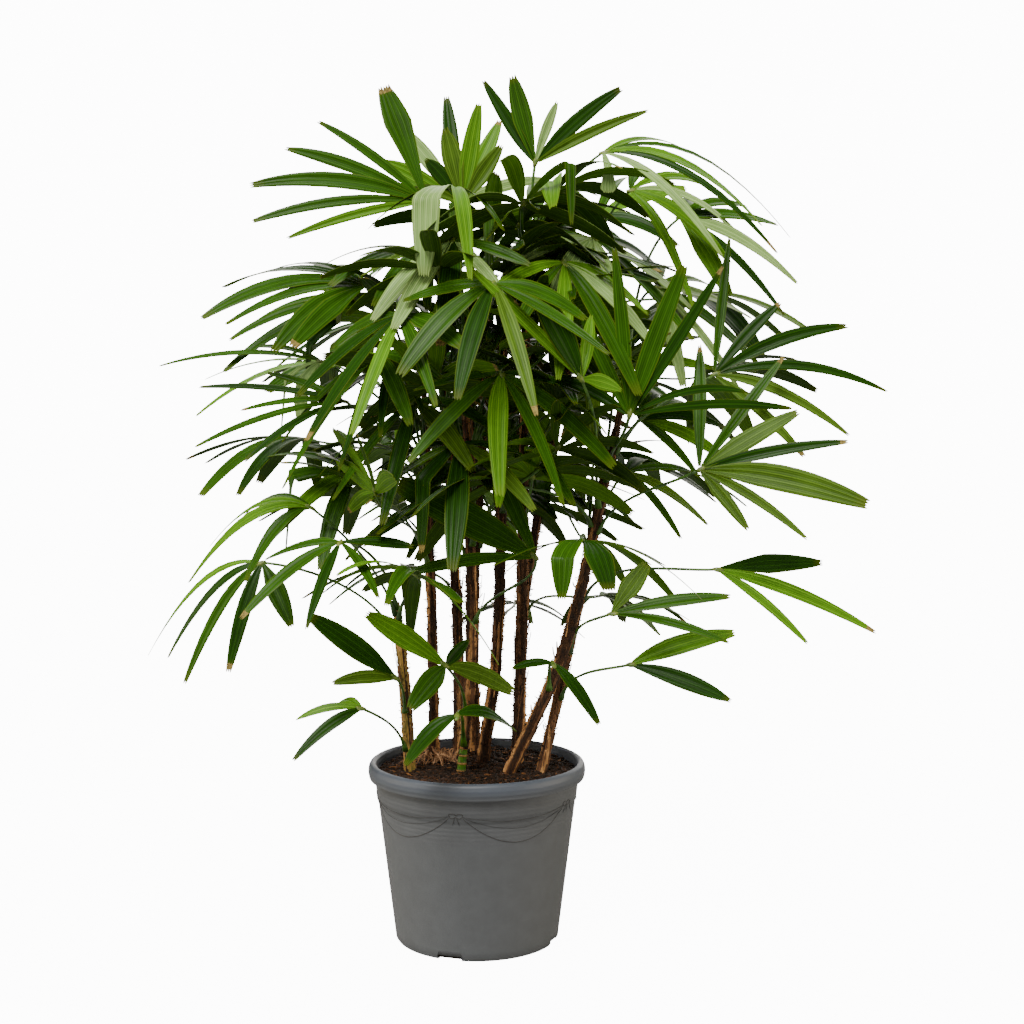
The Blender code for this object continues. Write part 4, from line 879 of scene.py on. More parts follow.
def make_tub():
    """The hollow tub, with its drain notches cut."""
    tub = piece("pot_tub", mesh_from("pot_tub", spun(pot_outline(), POT_STEPS), 38),
                [moulded_polypropylene("moulded_polypropylene", "#46494c", "#53575b", 0.50)],
                "pot_plastic", "pot")
    cutter = notch_cutter()
    notches = tub.modifiers.new("Drain notches", "BOOLEAN")
    notches.operation = "DIFFERENCE"
    notches.object = cutter
    graph = bpy.context.evaluated_depsgraph_get()
    cut = bpy.data.meshes.new_from_object(tub.evaluated_get(graph))
    tub.modifiers.clear()
    tub.data = cut
    bpy.data.objects.remove(cutter, do_unlink=True)


def on_wall(bearing, height):
    """A point on the pot's wall at a bearing, and the level way out there."""
    out = level_way(math.radians(bearing))
    step = POT_HEIGHT - RIM_DEPTH - STEP_BELOW_RIM
    radius = wall_radius(height) + (STEP_DEPTH if height > step else 0.0)
    return out * radius + UP * height, out


def wall_bead(bm, route, width):
    """A moulded bead half sunk in the wall along bearings and heights, thin at both ends."""
    points = [on_wall(bearing, height) for bearing, height in route]
    path = [centre for centre, _ in points]
    places = []
    for number, (centre, out) in enumerate(points):
        along = way_along(path, number)
        end = BEAD_END if number in (0, len(path) - 1) else 1.0
        side = out.cross(along).normalized()
        places.append(placing(centre, along, side, width * end, BEAD_RISE * end))
    sweep(bm, places, BEAD_SIDES)


def garland(knot, sag):
    """Bearings and heights of a ribbon that hangs from one knot to the next."""
    shares = [step / SWAG_STEPS for step in range(SWAG_STEPS + 1)]
    return [(knot + KNOT_GAP + share * (SWAG_PITCH - 2 * KNOT_GAP),
             SWAG_HEIGHT - sag * math.sin(math.pi * share) ** 0.8) for share in shares]


def bow_loop(knot, hand):
    """Bearings and heights round one loop of the bow at a knot."""
    shares = [step / BOW_STEPS for step in range(BOW_STEPS + 1)]
    return [(knot + hand * BOW_REACH * math.sin(math.pi * share) ** 2 * (1.0 if share < 0.5 else 0.9),
             SWAG_HEIGHT + BOW_RISE * math.sin(math.tau * share)) for share in shares]


def bow_tail(knot, hand):
    """Bearings and heights down one tail of the bow at a knot."""
    turn, drop = TAIL_START
    more_turn, more_drop = TAIL_RUN
    return [(knot + hand * (turn + more_turn * share), SWAG_HEIGHT - drop - more_drop * share)
            for share in (0.0, 0.35, 0.7, 1.0)]


def make_swags():
    """The ribbon garlands moulded on the pot's wall, with a bow at each knot, in a plastic darker than the
    wall as painted shade along their lines.
    """
    bm = bmesh.new()
    for swag in range(SWAG_COUNT):
        knot = SWAG_FIRST_KNOT + swag * SWAG_PITCH
        for sag, width in SWAG_LINES:
            wall_bead(bm, garland(knot, sag), width)
        for hand in (-1.0, 1.0):
            wall_bead(bm, bow_loop(knot, hand), BOW_WIDTH)
            wall_bead(bm, bow_tail(knot, hand), BOW_WIDTH)
    # The beads' darker plastic is painted shade: the wall's own plastic, darkened to show the shade along the
    # moulded lines
    piece("pot_swags", mesh_from("pot_swags", bm),
          [moulded_polypropylene("swag_plastic_painted_shade", "#2a2c2e", "#363839", 0.55)], "pot_plastic")


def soil_height(x, y):
    """Top of the soil: bumpy, and a little lower at the wall."""
    radius = math.hypot(x, y)
    lumps = noise.noise(Vector((x, y, 0.0)) * 28)
    grains = noise.noise(Vector((x, y, 0.3)) * 95)
    edge = max(0.0, (radius - SOIL_EDGE_START) / SOIL_EDGE_WIDTH)
    return SOIL_TOP + SOIL_BUMP * (lumps * 0.6 + grains * 0.4) - SOIL_EDGE_DROP * min(edge, 1.0) ** 2


def soil_radius(height):
    """Radius of the soil's side at a height, a hair inside the tub's wall."""
    foot = wall_radius(POT_FLOOR) - POT_WALL
    top = wall_radius(POT_HEIGHT - RIM_DEPTH) - POT_WALL + STEP_DEPTH
    slope = (top - foot) / (POT_HEIGHT - LIP_DEPTH - POT_FLOOR)
    return foot + slope * (height - POT_FLOOR) - SOIL_GAP


def make_soil_bed(peat):
    """The filled body of soil under its bumpy top."""
    low = POT_FLOOR + SOIL_GAP
    edge = SOIL_TOP - SOIL_EDGE_DROP
    wide = soil_radius(edge)

    # The top's rings start above the edge, which tells them apart when they are set to the bumps
    top = [(wide * (1 - ring / SOIL_RINGS), edge + 0.002) for ring in range(1, SOIL_RINGS + 1)]
    bm = spun([(0.0, low), (soil_radius(low), low), (wide, edge)] + top, SOIL_STEPS)
    for vertex in bm.verts:
        if vertex.co.z > edge + 0.001:
            vertex.co.z = soil_height(vertex.co.x, vertex.co.y)
    piece("soil_bed", mesh_from("soil_bed", bm), [peat], "peat", "soil")


def make_crumbs(peat):
    """Loose crumbs of peat and flat chips of bark on the soil."""
    draw = random.Random("soil crumbs")
    bm = bmesh.new()
    bmesh.ops.create_icosphere(bm, subdivisions=1, radius=1.0)
    shape = np.array([vertex.co for vertex in bm.verts])
    corners = np.array([[vertex.index for vertex in face.verts] for face in bm.faces])
    bm.free()
    points, faces, shades = [], [], []
    widest = soil_radius(SOIL_TOP - SOIL_EDGE_DROP) * CRUMB_REACH
    for count in range(CRUMBS):
        reach = widest * math.sqrt(draw.random())
        turn = draw.uniform(0.0, math.tau)
        x, y = reach * math.cos(turn), reach * math.sin(turn)
        size = CRUMB_SIZES[0] + (CRUMB_SIZES[1] - CRUMB_SIZES[0]) * draw.random() ** 3
        kind = draw.random()
        stretch = CHIP_SHAPE if kind > CHIPS_FROM else [draw.uniform(*span) for span in CRUMB_SHAPES]
        rough = 1 + CRUMB_ROUGHNESS * np.array([[draw.uniform(-1, 1)] for _ in shape])
        spin = (Matrix.Rotation(draw.uniform(0.0, math.tau), 3, "Z")
                @ Matrix.Rotation(draw.uniform(-0.5, 0.5), 3, "X"))
        place = np.array((x, y, soil_height(x, y) + size * 0.25))
        points.append((shape * rough * (size * np.array(stretch))) @ np.array(spin.transposed()) + place)
        faces.append(corners + len(shape) * count)
        shade = 2 if kind > PALE_CHIPS_FROM else 1 if kind > BARK_FROM else 0
        shades.append(np.full(len(corners), shade))
    mesh = bpy.data.meshes.new("soil_crumbs")
    mesh.from_pydata(np.concatenate(points), [], np.concatenate(faces))
    mesh.polygons.foreach_set("material_index", np.concatenate(shades).astype(np.int32))
    piece("soil_crumbs", mesh, [peat, potting_peat("composted_bark", "#1d1008", "#4d2e14", 0.9),
                                potting_peat("bark_chip", "#4a2a10", "#8a5a2c", 0.85)], "peat")


def cane_top(name):
    """Height of a cane's top."""
    return CANES[name][3][-1][2]


def cane_share(name, height):
    """How far up a cane a height is, from 0 at the soil to 1 at its top."""
    return (height - SOIL_TOP) / (cane_top(name) - SOIL_TOP)


def cane_path(name, count):
    """Points evenly shared along a cane's middle line, from just under the soil to its top."""
    foot, points = CANES[name][2:]
    start = Vector((*foot, SOIL_TOP - CANE_SUNK))
    return curve_through([start, *[Vector(point) for point in points]], count)


def cane_centre(name, height):
    """The point on a cane's middle line at a height."""
    points = cane_path(name, CENTRE_STEPS)
    for low, high in zip(points, points[1:]):
        if low.z <= height <= high.z:
            return low.lerp(high, (height - low.z) / (high.z - low.z))
    return points[-1]


def cane_radius(name, share):
    """A cane's plain radius at a share of its height: flared foot, slow taper, blunt top. The flare
    and the blunt top take an eighth of the cane each."""
    foot_radius, top_radius = CANES[name][:2]
    radius = foot_radius + (top_radius - foot_radius) * share ** 1.5
    radius *= 1 + (CANE_FOOT_FLARE - 1) * max(0.0, 1 - share * 8)
    return radius * (1 - 0.5 * max(0.0, share * 8 - 7))


def bark(name, height, turn):
    """How far the fibre and the overlapping old sheaths stand out from a cane, and the shade."""
    seed = float(ord(name[-1]))
    around = level_way(turn)
    slant = 0.35 * math.sin(turn + height * 9 + seed)
    place = height / SHEATH_PITCH + slant + 0.4 * noise.noise(Vector((height * 14, seed, 0.0)))
    sheath = (place - math.floor(place)) ** 1.6 * SHEATH_STEP

    # Noise drawn out along the cane: coarse fibre, the finer net on it, and broad streaks of shade
    fibre = noise.noise(around * 5.5 + Vector((0.0, 0.0, height * 22 + seed)))
    net = noise.noise(around * 11 + Vector((0.0, 0.0, height * 70 - seed)))
    streak = noise.noise(around * 1.7 + Vector((seed, 0.0, height * 5.0)))
    return sheath + FIBRE_RELIEF * (fibre * 1.3 + net * 0.8), streak + fibre * 0.35


def bare_foot(height):
    """How far the bare green foot of a cane stands out from its plain radius, with a ring at each
    node, and its shade."""
    ringed = 1.0 if (height - FIRST_NODE) % NODE_PITCH < NODE_WIDTH else 0.0
    return NODE_RISE * ringed - BARE_FOOT_SLIMNESS, BARE_SHADE - ringed


def cane_finish(name, shade):
    """The number of the finish that a face of a cane takes by its shade."""
    if shade > BARE_SHADE - 1:
        return RINGED if shade < BARE_SHADE - 0.3 else GREEN
    tone = shade + CANE_LIGHTNESS.get(name, 0.0)
    if name in YOUNG_CANES and YOUNG_FROM < tone <= TAN_FROM:
        return YOUNG
    return TAN if tone > TAN_FROM else BROWN if tone > BROWN_FROM else DARK


def make_cane(name, finishes):
    """One cane: a tapered tube along its path, raised and shaded by its bark."""
    trial = cane_path(name, TRIAL_STEPS)
    length = sum((b - a).length for a, b in zip(trial, trial[1:]))
    count = int(length * CANE_RINGS_PER_METRE)
    path = cane_path(name, count)
    places = []
    for number, centre in enumerate(path):
        along = way_along(path, number)
        side = Vector((0, 1, 0)).cross(along).normalized()
        radius = cane_radius(name, number / count)
        places.append(placing(centre, along, side, radius, radius))
    bm = bmesh.new()
    rings = sweep(bm, places, CANE_SIDES)
    shades = {}
    for centre, ring in zip(path, rings):
        bare = name in BARE_CANES and centre.z < BARE_FOOT_TOP
        for vertex in ring:
            out = vertex.co - centre
            proud, shades[vertex] = (bare_foot(centre.z) if bare
                                     else bark(name, centre.z, math.atan2(out.y, out.x)))
            vertex.co += out.normalized() * proud
    for face in bm.faces:
        shade = sum(shades[vertex] for vertex in face.verts) / len(face.verts)
        face.material_index = cane_finish(name, shade)
    piece(name + "_sheathed", mesh_from(name, bm), finishes, "cane_sheath", name)


def make_hair(batch, name, draw):
    """A stray fibre standing off a cane."""
    height = draw.uniform(SOIL_TOP + 0.015, cane_top(name) - 0.02)
    out = level_way(draw.uniform(0.0, math.tau))
    root = cane_centre(name, height) + out * (cane_radius(name, cane_share(name, height)) * 0.9)
    lean = (out + UP * draw.uniform(-0.6, 1.6) + out.cross(UP) * draw.uniform(-0.6, 0.6)).normalized()
    long = draw.uniform(*HAIR_LENGTHS)
    bend = UP * draw.uniform(-0.3, 0.3)
    path = [root + (lean + bend * step / 2) * (long * step / 2) for step in range(3)]
    batch.loft(ribbon(path, [UP.cross(out)] * 3, HAIR_HALF, HAIR_THICK), draw.choice((DARK, DARK, BROWN)))


def make_stub(batch, name, draw):
    """A short stub of an old stalk, curling up from a cane."""
    height = draw.uniform(SOIL_TOP + 0.03, cane_top(name) - 0.10)
    out = level_way(draw.uniform(0.0, math.tau))
    root = cane_centre(name, height) + out * (cane_radius(name, cane_share(name, height)) * 0.8)
    long = draw.uniform(*STUB_LENGTHS)
    curl = draw.uniform(0.5, 1.6)
    path = [root + (out * (share - 0.35 * share * share) + UP * curl * share * share) * long
            for share in (0.0, 0.2, 0.4, 0.6, 0.8, 1.0)]
    batch.loft(ribbon(path, [UP] * 6, draw.uniform(*STUB_HALVES), STUB_THICK),
               draw.choice((DARK, BROWN, BROWN, TAN)))


def make_strip(batch, name, draw):
    """A strip of old sheath lying up along a cane, its upper end peeling off."""
    height = draw.uniform(SOIL_TOP + 0.005, cane_top(name) - 0.14)
    long = draw.uniform(*STRIP_LENGTHS)
    turn = draw.uniform(0.0, math.tau)
    drift = draw.uniform(-1.2, 1.2)
    peel = draw.uniform(0.0, 0.006)
    path, outs = [], []
    for step in range(11):
        share = step / 10
        z = height + long * share
        out = level_way(turn + drift * share)
        radius = cane_radius(name, cane_share(name, z)) + STRIP_PROUD
        path.append(cane_centre(name, z) + out * (radius + peel * max(0.0, share - 0.6) * 2.5))
        outs.append(out)
    batch.loft(ribbon(path, outs, draw.uniform(*STRIP_HALVES), STRIP_THICK),
               draw.choice((DARK, BROWN, BROWN, TAN)))


def make_fibres(finishes):
    """The stray fibres, stubs and strips of old sheath on the canes."""
    draw = random.Random("stray fibres")
    batch = Batch()
    for name in CANES:
        length = cane_top(name) - SOIL_TOP
        for make_one, per_metre in ((make_hair, HAIRS_PER_METRE), (make_stub, STUBS_PER_METRE),
                                    (make_strip, STRIPS_PER_METRE)):
            for _ in range(int(length * per_metre)):
                make_one(batch, name, draw)
    piece("cane_fibres", batch.mesh("cane_fibres"), finishes[:3], "cane_sheath")


def make_roots():
    """A knot of fine tan roots lying on the soil among the left canes."""
    draw = random.Random("surface roots")
    batch = Batch()
    for _ in range(ROOT_COUNT):
        turn = draw.uniform(0.0, math.tau)
        reach = draw.uniform(*ROOT_REACHES)
        start = Vector(ROOT_KNOT) + Vector((draw.uniform(-0.02, 0.02), draw.uniform(-0.015, 0.015), 0.0))
        out = level_way(turn)
        side = out.cross(UP)
        wave = draw.uniform(-ROOT_WAVE, ROOT_WAVE)
        arch = draw.uniform(*ROOT_ARCHES)
        path = []
        for step in range(9):
            share = step / 8
            spot = start + out * reach * share + side * wave * math.sin(share * 4)
            rise = arch * math.sin(math.pi * min(1.0, share * 1.1)) * draw.uniform(0.8, 1.1)
            path.append(Vector((spot.x, spot.y, soil_height(spot.x, spot.y) + max(0.0006, rise))))
        batch.loft(ribbon(path, [UP] * 9, draw.uniform(*ROOT_HALVES), ROOT_THICK), 0)
    piece("surface_roots", batch.mesh("surface_roots"),
          [plant_skin("tan_root", "#7a5232", "#d0a47a", 120.0, 0.8)], "cane_sheath")


def heading(bearing, rise):
    """The direction at a bearing and a rise, both in degrees."""
    flat = math.cos(math.radians(rise))
    return Vector((math.cos(math.radians(bearing)) * flat,
                   math.sin(math.radians(bearing)) * flat,
                   math.sin(math.radians(rise))))


def is_measured(frond):
    """True for the first frond of a name whose blade is given leaf by leaf."""
    return frond[0] in MEASURED and frond == next(other for other in FRONDS if other[0] == frond[0])


def fan(frond):
    """Each leaflet of a frond's blade: fan angle, length, width, droop and half its share of the fan."""
    name, _, _, hub, _, _, _, count, spread, length, droop = frond
    half_pitch = spread / (count - 1) / 2
    if is_measured(frond):
        return [(*leaflet, half_pitch) for leaflet in MEASURED[name]]
    draw = random.Random(f"{name} {hub}")
    leaflets = []
    for number in range(count):
        share = number / (count - 1) * 2 - 1
        angle = share * spread / 2 + 2 * half_pitch * draw.uniform(-FAN_UNEVENNESS, FAN_UNEVENNESS)
        long = length * (1 - OUTER_SHORTENING * share * share) * draw.uniform(*LENGTH_RANGE)
        wide = min(length * LEAFLET_WIDTH_SHARE, LEAFLET_WIDEST) * draw.uniform(*WIDTH_RANGE)
        leaflets.append((angle, long, wide, droop * draw.uniform(*DROOP_RANGE), half_pitch))
    return leaflets


def blade_frame(frond):
    """The blade's middle direction, its side direction and the way it faces."""
    bearing, rise, roll = frond[4:7]
    aim = heading(bearing, rise)
    level = aim.cross(UP).normalized()
    over = level.cross(aim)
    turn = math.radians(roll)
    side = level * math.cos(turn) + over * math.sin(turn)
    return aim, side, side.cross(aim)


def unit(rows):
    """Vectors in the last axis of an array, brought to length one."""
    return rows / np.linalg.norm(rows, axis=-1, keepdims=True)


def midrib(hub, ahead, across, leaflet, sway, kink, stations):
    """Centres and directions along a leaflet, which droops, sways and may be bent over."""
    _, length, _, droop, _ = leaflet
    up = np.array((0.0, 0.0, 1.0))
    steps = np.linspace(0.0, 1.0, MIDRIB_STEPS + 1)
    speed = ahead - up * (droop * steps[:, None]) + across * (2 * sway * steps[:, None])
    if kink:
        fallen = -up * FALL + ahead * (1 - abs(ahead[2])) * FALL_DRIFT
        turned = np.clip((steps - kink) / BEND_LENGTH, 0.0, 1.0)[:, None]
        speed = speed * (1 - turned) + fallen * turned
    hops = (speed[1:] + speed[:-1]) / 2 * (length / MIDRIB_STEPS)
    places = hub + np.vstack((np.zeros(3), np.cumsum(hops, axis=0)))
    centres = np.stack([np.interp(stations, steps, places[:, axis]) for axis in range(3)], axis=1)
    along = np.stack([np.interp(stations, steps, speed[:, axis]) for axis in range(3)], axis=1)
    return centres, unit(along)


def leaflet_line(frond, leaflet, draw):
    """The stations along a leaflet, and at each its centre and its ways along, to its edge and off
    its face."""
    angle, _, _, droop, _ = leaflet
    freedom = MEASURED_FREEDOM if is_measured(frond) else 1.0
    aim, side, facing = blade_frame(frond)
    turn = math.radians(angle)
    ahead = np.array(aim * math.cos(turn) + side * math.sin(turn))
    across = np.cross(ahead, np.array(facing))
    kink = draw.uniform(*BEND_RANGE) if draw.random() < BENT_SHARE * freedom else None
    if droop > BENT_DROOP:
        kink = MEASURED_BEND
    at_kink = [kink + 0.005, kink + 0.03] if kink else []
    stations = np.array(sorted([*STATIONS, *at_kink]))
    sway = draw.uniform(-SWAY, SWAY) * freedom
    centres, along = midrib(np.array(frond[3]), ahead, across, leaflet, sway, kink, stations)
    edge = unit(across - along * (along @ across)[:, None])
    face = np.cross(edge, along)
    twist = math.radians(draw.uniform(-TWIST, TWIST) * freedom) * stations[:, None]
    edge, face = (edge * np.cos(twist) + face * np.sin(twist),
                  face * np.cos(twist) - edge * np.sin(twist))
    return stations, centres, along, edge, face


def half_widths(stations, leaflet, draw):
    """Half the width at each station: a narrow root, a belly and a blunt end, and near the hub no
    more than the leaflet's share of the fan."""
    _, length, width, _, half_pitch = leaflet
    belly = draw.uniform(*BELLY_RANGE)
    end = draw.uniform(*END_RANGE) + (BROAD_END_EXTRA if width > BROAD_LEAFLET else 0.0)
    rising = ROOT_SHARE + (1 - ROOT_SHARE) * np.sin(np.minimum(stations / belly, 1.0) * np.pi / 2) ** 0.9
    falling = 1 - (1 - end) * (np.clip((stations - belly) / (1 - belly), 0.0, 1.0)) ** 2.0
    room = math.tan(math.radians(half_pitch)) * stations * length * 1.05 + NARROWEST_ROOM
    return np.minimum(width / 2 * np.where(stations < belly, rising, falling), room)


def surface_heights(stations, half, u, valley, draw):
    """How far the surface stands off its plane: folded along the midrib, sagging to the sides and
    pleated."""
    fold = math.tan(math.radians(draw.uniform(*FOLD_RANGE))) * (1 - FOLD_EASING * stations)
    sag = draw.uniform(0.0, MOST_SAG)
    relief = PLEAT_RISE * np.minimum(half / FULL_RELIEF_HALF, 1.0)
    return (fold[:, None] * np.abs(u) * half[:, None] - sag * (u * half[:, None]) ** 2
            + relief[:, None] * (0.5 - valley))


def toothed_end(stations, valley, length, draw):
    """How far each point is moved along the leaflet: its end is cut into teeth, one to a pleat, with
    short splits between them."""
    pleat = np.arange(len(valley)) // PLEAT_COLUMNS
    pleats = pleat[-1]
    point = np.array([draw.uniform(0.3, 1.0) for _ in range(pleats)])[np.minimum(pleat, pleats - 1)]
    split = np.array([draw.uniform(0.2, 1.0) for _ in range(pleats + 1)])[pleat]
    cut = np.where(valley == 0, point, np.where(valley == 0.5, point * 0.4, -split * 0.8))
    cut = cut * min(TOOTH, length * TOOTH_SHARE)
    reach = np.zeros((len(stations), len(valley)))
    reach[-1] = cut
    reach[-2] = np.where(valley == 1, np.minimum(cut * 0.5, 0.0), 0.0)
    return reach


def grow_leaflet(batch, frond, leaflet, draw, palette):
    """One leaflet: a pleated strap with a toothed end, on the frond's plane."""
    _, length, width, _, _ = leaflet
    stations, centres, along, edge, face = leaflet_line(frond, leaflet, draw)
    half = half_widths(stations, leaflet, draw)
    pleats = max(1, min(MOST_PLEATS, round(width / PLEAT_WIDTH)))
    columns = PLEAT_COLUMNS * pleats + 1
    u = np.linspace(-1.0, 1.0, columns)
    mid_pleat = PLEAT_COLUMNS / 2
    valley = np.abs(np.arange(columns) % PLEAT_COLUMNS - mid_pleat) / mid_pleat
    height = surface_heights(stations, half, u, valley, draw)
    reach = toothed_end(stations, valley, length, draw)
    sideways = u[None, :] * half[:, None]
    middle = (centres[:, None, :] + edge[:, None, :] * sideways[:, :, None]
              + face[:, None, :] * height[:, :, None] + along[:, None, :] * reach[:, :, None])
    lift = face[:, None, :] * (BLADE_THICKNESS / 2)
    rings = np.concatenate((middle + lift, (middle - lift)[:, ::-1]), axis=1)

    # The pattern's place across and along the blade, and how near the margin, the same underneath
    across_pleats = np.broadcast_to(np.arange(columns) / PLEAT_COLUMNS, sideways.shape)
    blade = np.stack((across_pleats, np.broadcast_to(stations[:, None], sideways.shape)), axis=-1)
    blade = np.concatenate((blade, blade[:, ::-1]), axis=1)
    margin = np.broadcast_to(np.abs(u), sideways.shape)
    margin = np.concatenate((margin, margin[:, ::-1]), axis=1)
    top, under, dry = palette
    shades = (top, under, dry if draw.random() < DRY_TIP_SHARE else None)
    batch.leaflet(rings, columns, blade, margin, shades)


def palette_of(droop, draw, kind):
    """The colours of one leaflet's top, underside and dry tip: the crown's top is paler by painted
    sheen, its inside deeper by painted shade, and a bent leaflet, whose fallen end catches the light,
    takes the pale painted sheen tone on both faces."""
    tops = len(LEAF_TONES)
    unders = len(UNDERSIDE_TONES)
    top = draw.choices(range(tops), LEAF_MIX[kind])[0]
    under = tops + draw.choices(range(unders), UNDERSIDE_MIX)[0]
    # A bent leaflet takes the pale tone on top and underneath as painted sheen
    if droop > BENT_DROOP:
        top = under = tops - 1
    return top, under, tops + unders


def stalk_path(foot, outward, hub, aim):
    """A stalk that leaves its cane steeply and arches over to the hub."""
    reach = (hub - foot).length
    leave = (outward * STALK_LEAN + UP).normalized() * reach * STALK_LEAVE
    arrive = ((hub - foot).normalized() + aim).normalized() * reach * STALK_ARRIVE
    first, second = foot + leave, hub - arrive
    result = []
    for step in range(STALK_STEPS + 1):
        t = step / STALK_STEPS
        s = 1 - t
        result.append(foot * s ** 3 + first * 3 * s * s * t + second * 3 * s * t * t + hub * t ** 3)
    return result


def stalk_foot(frond, fronds):
    """Where a frond's stalk leaves its cane, and the level way out."""
    name, cane, height = frond[:3]
    centre = cane_centre(cane, height)
    hubs = [Vector(other[3]) for other in fronds if other[0] == name]
    middle = sum(hubs, Vector()) / len(hubs)
    outward = Vector((middle.x - centre.x, middle.y - centre.y, 0.0)).normalized()
    return centre + outward * (cane_radius(cane, cane_share(cane, height)) - STALK_SUNK), outward


def grow_stalk(bm, frond, fronds):
    """The stalk, swollen where it clasps the cane, and the small crest at the hub."""
    hub = Vector(frond[3])
    foot, outward = stalk_foot(frond, fronds)
    aim, side, _ = blade_frame(frond)
    path = stalk_path(foot, outward, hub, aim)
    places = []
    for number, centre in enumerate(path):
        share = number / STALK_STEPS
        along = way_along(path, number)
        level = outward.cross(UP).lerp(side, share)
        level = (level - along * level.dot(along)).normalized()
        swollen = 1 + STALK_SWELLING * max(0.0, 1 - share * 5) ** 2
        wide = STALK_RADIUS * swollen * (1 - 0.15 * share)
        places.append(placing(centre, along, level, wide, wide * STALK_FLATNESS))
    sweep(bm, places, STALK_SIDES)
    first = len(bm.faces)
    sweep(bm, [placing(hub + aim * ahead, aim, side, wide, high) for ahead, wide, high in CREST], STALK_SIDES)
    bm.faces.ensure_lookup_table()
    for face in bm.faces[first:]:
        face.material_index = 1


def in_crown(point):
    """True inside the dense middle of the crown, which stands open at its upper left."""
    low, high = CROWN_CORE
    if point[0] < low[0] + CROWN_SLOPE * (point[2] - CROWN_SHOULDER):
        return False
    return all(low[axis] < point[axis] < high[axis] for axis in range(3))


def inner_blade(centre, draw):
    """Hub, bearing, rise and length of a frond that grows at a cane inside the crown, or None."""
    for _ in range(INNER_TRIES):
        bearing = draw.uniform(0.0, 360.0)
        out = draw.uniform(*INNER_REACHES)
        hub = centre + heading(bearing, 0.0) * out + UP * draw.uniform(*INNER_LIFTS)
        rise = draw.uniform(*INNER_RISES)
        length = draw.uniform(*INNER_LENGTHS)
        if in_crown(hub + heading(bearing, rise) * length) and in_crown(hub):
            return tuple(hub), bearing, rise, length
    return None


def inner_fronds():
    """Fronds that fill the crown between the solids' own, by the same rule and within their reach."""
    draw = random.Random("inner fronds")
    grown = []
    for cane in CANES:
        height = INNER_LOWEST
        number = 0
        while height < cane_top(cane) - INNER_BELOW_TOP:
            blade = inner_blade(cane_centre(cane, height), draw)
            if blade is None:
                height += INNER_PITCH
                continue
            hub, bearing, rise, length = blade
            grown.append((f"inner_{cane}_{number}", cane, height, hub, bearing, rise,
                          draw.uniform(*INNER_ROLLS), draw.choice(INNER_COUNTS),
                          draw.uniform(*INNER_SPREADS), length, draw.uniform(*INNER_DROOPS)))
            number += 1
            height += INNER_PITCH * draw.uniform(*INNER_SPACING)
    return grown


def grow_group(group, kind, fronds, finishes, *names):
    """One group of fronds as two pieces, its leaflets and its stalks, in place of named nodes."""
    leaves = Batch()
    stalks = bmesh.new()
    for frond in fronds:
        draw = random.Random(f"{frond[0]} {frond[3]} looks")
        for leaflet in fan(frond):
            grow_leaflet(leaves, frond, leaflet, draw, palette_of(leaflet[3], draw, kind))
        grow_stalk(stalks, frond, fronds)
    piece(f"leaflets_{group}", leaves.mesh(f"leaflets_{group}"), finishes["leaf"], "leaf", *names)
    piece(f"stalks_{group}", mesh_from(f"stalks_{group}", stalks), finishes["stalk"], "leaf", *names)


def make_fronds(finishes):
    """The solids' own fronds, group by group, then those inside the crown in two halves."""
    groups = {}
    for frond in FRONDS:
        groups.setdefault(frond[0].split("_")[1], []).append(frond)
    for group, fronds in groups.items():
        # The top group is dealt more of the pale tone, as painted sheen; the outer groups get none of it
        kind = "top" if group == "top" else "outer"
        grow_group(group, kind, fronds, finishes, *sorted({frond[0] for frond in fronds}))
    inner = inner_fronds()
    half = len(inner) // 2
    grow_group("inner_1", "inner", inner[:half], finishes)
    grow_group("inner_2", "inner", inner[half:], finishes)


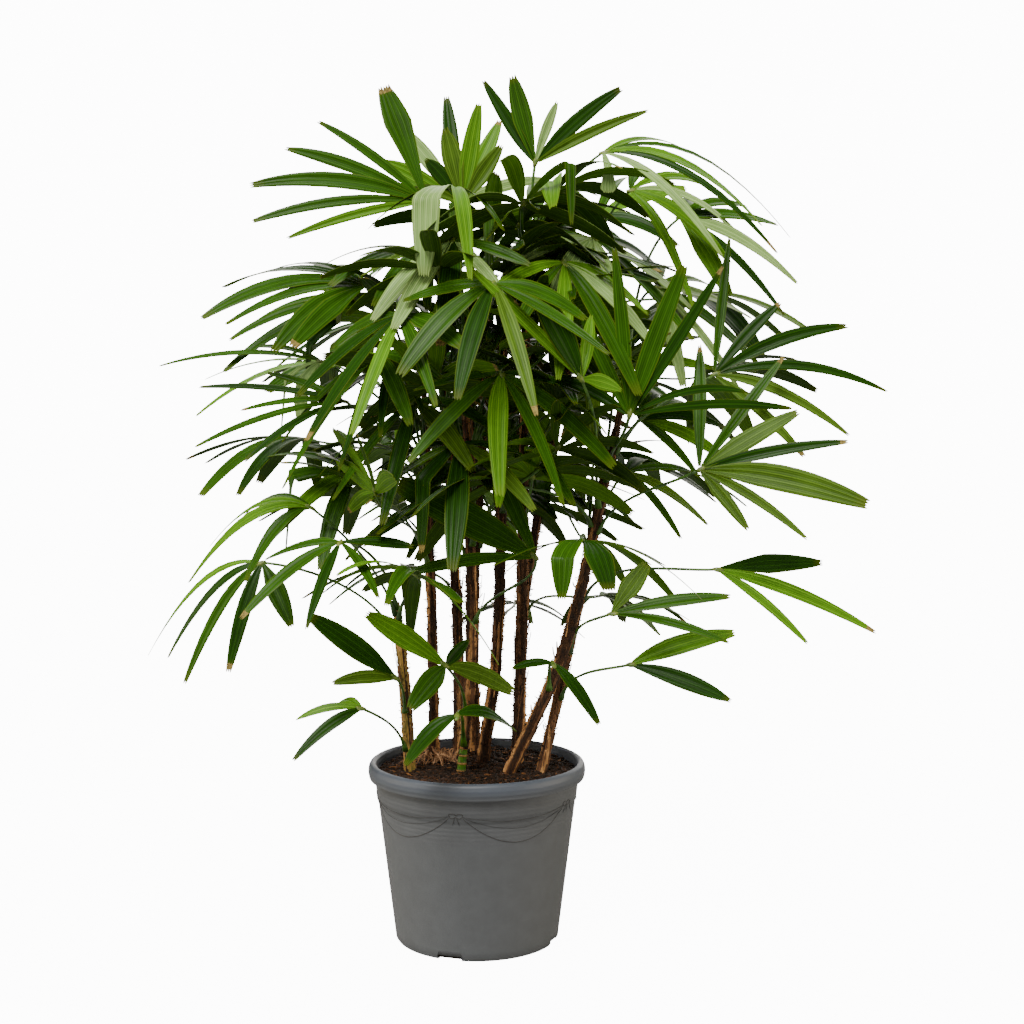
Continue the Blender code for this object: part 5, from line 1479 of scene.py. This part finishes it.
def make_floor():
    """A wide white ground, lit past white for the camera alone, so that it is seen as blank."""
    bm = bmesh.new()
    bmesh.ops.create_grid(bm, x_segments=1, y_segments=1, size=FLOOR_REACH)
    mesh = bpy.data.meshes.new("floor")
    bm.to_mesh(mesh)
    bm.free()
    floor = placed("floor", mesh)
    paper, tree, shader = finish_of("floor_paper", 0.9, MATT_IOR)
    shader.inputs["Base Color"].default_value = srgb("#8a8a8a")
    shader.inputs["Emission Color"].default_value = srgb("#ffffff")
    ray = add(tree, "ShaderNodeLightPath").outputs["Is Camera Ray"]
    tree.links.new(reckoned(tree, "MULTIPLY", ray, FLOOR_GLOW), shader.inputs["Emission Strength"])
    mesh.materials.append(paper)


def make_room():
    """A dim, faintly blue light from all round, seen by the camera as white."""
    world = bpy.data.worlds.new("studio")
    bpy.context.scene.world = world
    world.use_nodes = True
    tree = world.node_tree
    tree.nodes.clear()
    dim = add(tree, "ShaderNodeBackground", {"Color": srgb("#f4f7ff"), "Strength": ROOM_LIGHT})
    seen = add(tree, "ShaderNodeBackground", {"Color": srgb("#ffffff"), "Strength": SEEN_WHITE})
    ray = add(tree, "ShaderNodeLightPath").outputs["Is Camera Ray"]
    both = add(tree, "ShaderNodeMixShader", {0: ray, 1: dim.outputs[0], 2: seen.outputs[0]})
    add(tree, "ShaderNodeOutputWorld", {"Surface": both.outputs[0]})


def make_lamps():
    """The broad lamps of the studio."""
    for name, strength, spread, aim, colour in SUNS:
        lamp = bpy.data.lights.new(name, "SUN")
        lamp.energy = strength
        lamp.color = srgb(colour)[:3]
        lamp.angle = math.radians(spread)
        placed(name, lamp).rotation_euler = (-Vector(aim)).to_track_quat("-Z", "Y").to_euler()


def make_camera():
    """The camera, where the photograph was taken from."""
    camera = bpy.data.cameras.new("camera")
    camera.lens = CAMERA_LENS
    camera.sensor_width = CAMERA_SENSOR
    camera.clip_end = CAMERA_REACH
    holder = placed("camera", camera)
    holder.location = CAMERA_PLACE
    look = Vector(CAMERA_AIM) - Vector(CAMERA_PLACE)
    holder.rotation_euler = look.to_track_quat("-Z", "Y").to_euler()
    bpy.context.scene.camera = holder


def main():
    """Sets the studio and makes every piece."""
    make_floor()
    make_room()
    make_lamps()
    make_camera()
    finishes = make_finishes()
    make_tub()
    make_swags()
    peat = potting_peat("potting_peat", "#0d0805", "#33200f", 0.95)
    make_soil_bed(peat)
    make_crumbs(peat)
    for name in CANES:
        make_cane(name, finishes["cane"])
    make_fibres(finishes["cane"])
    make_roots()
    make_fronds(finishes)
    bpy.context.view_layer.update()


main()
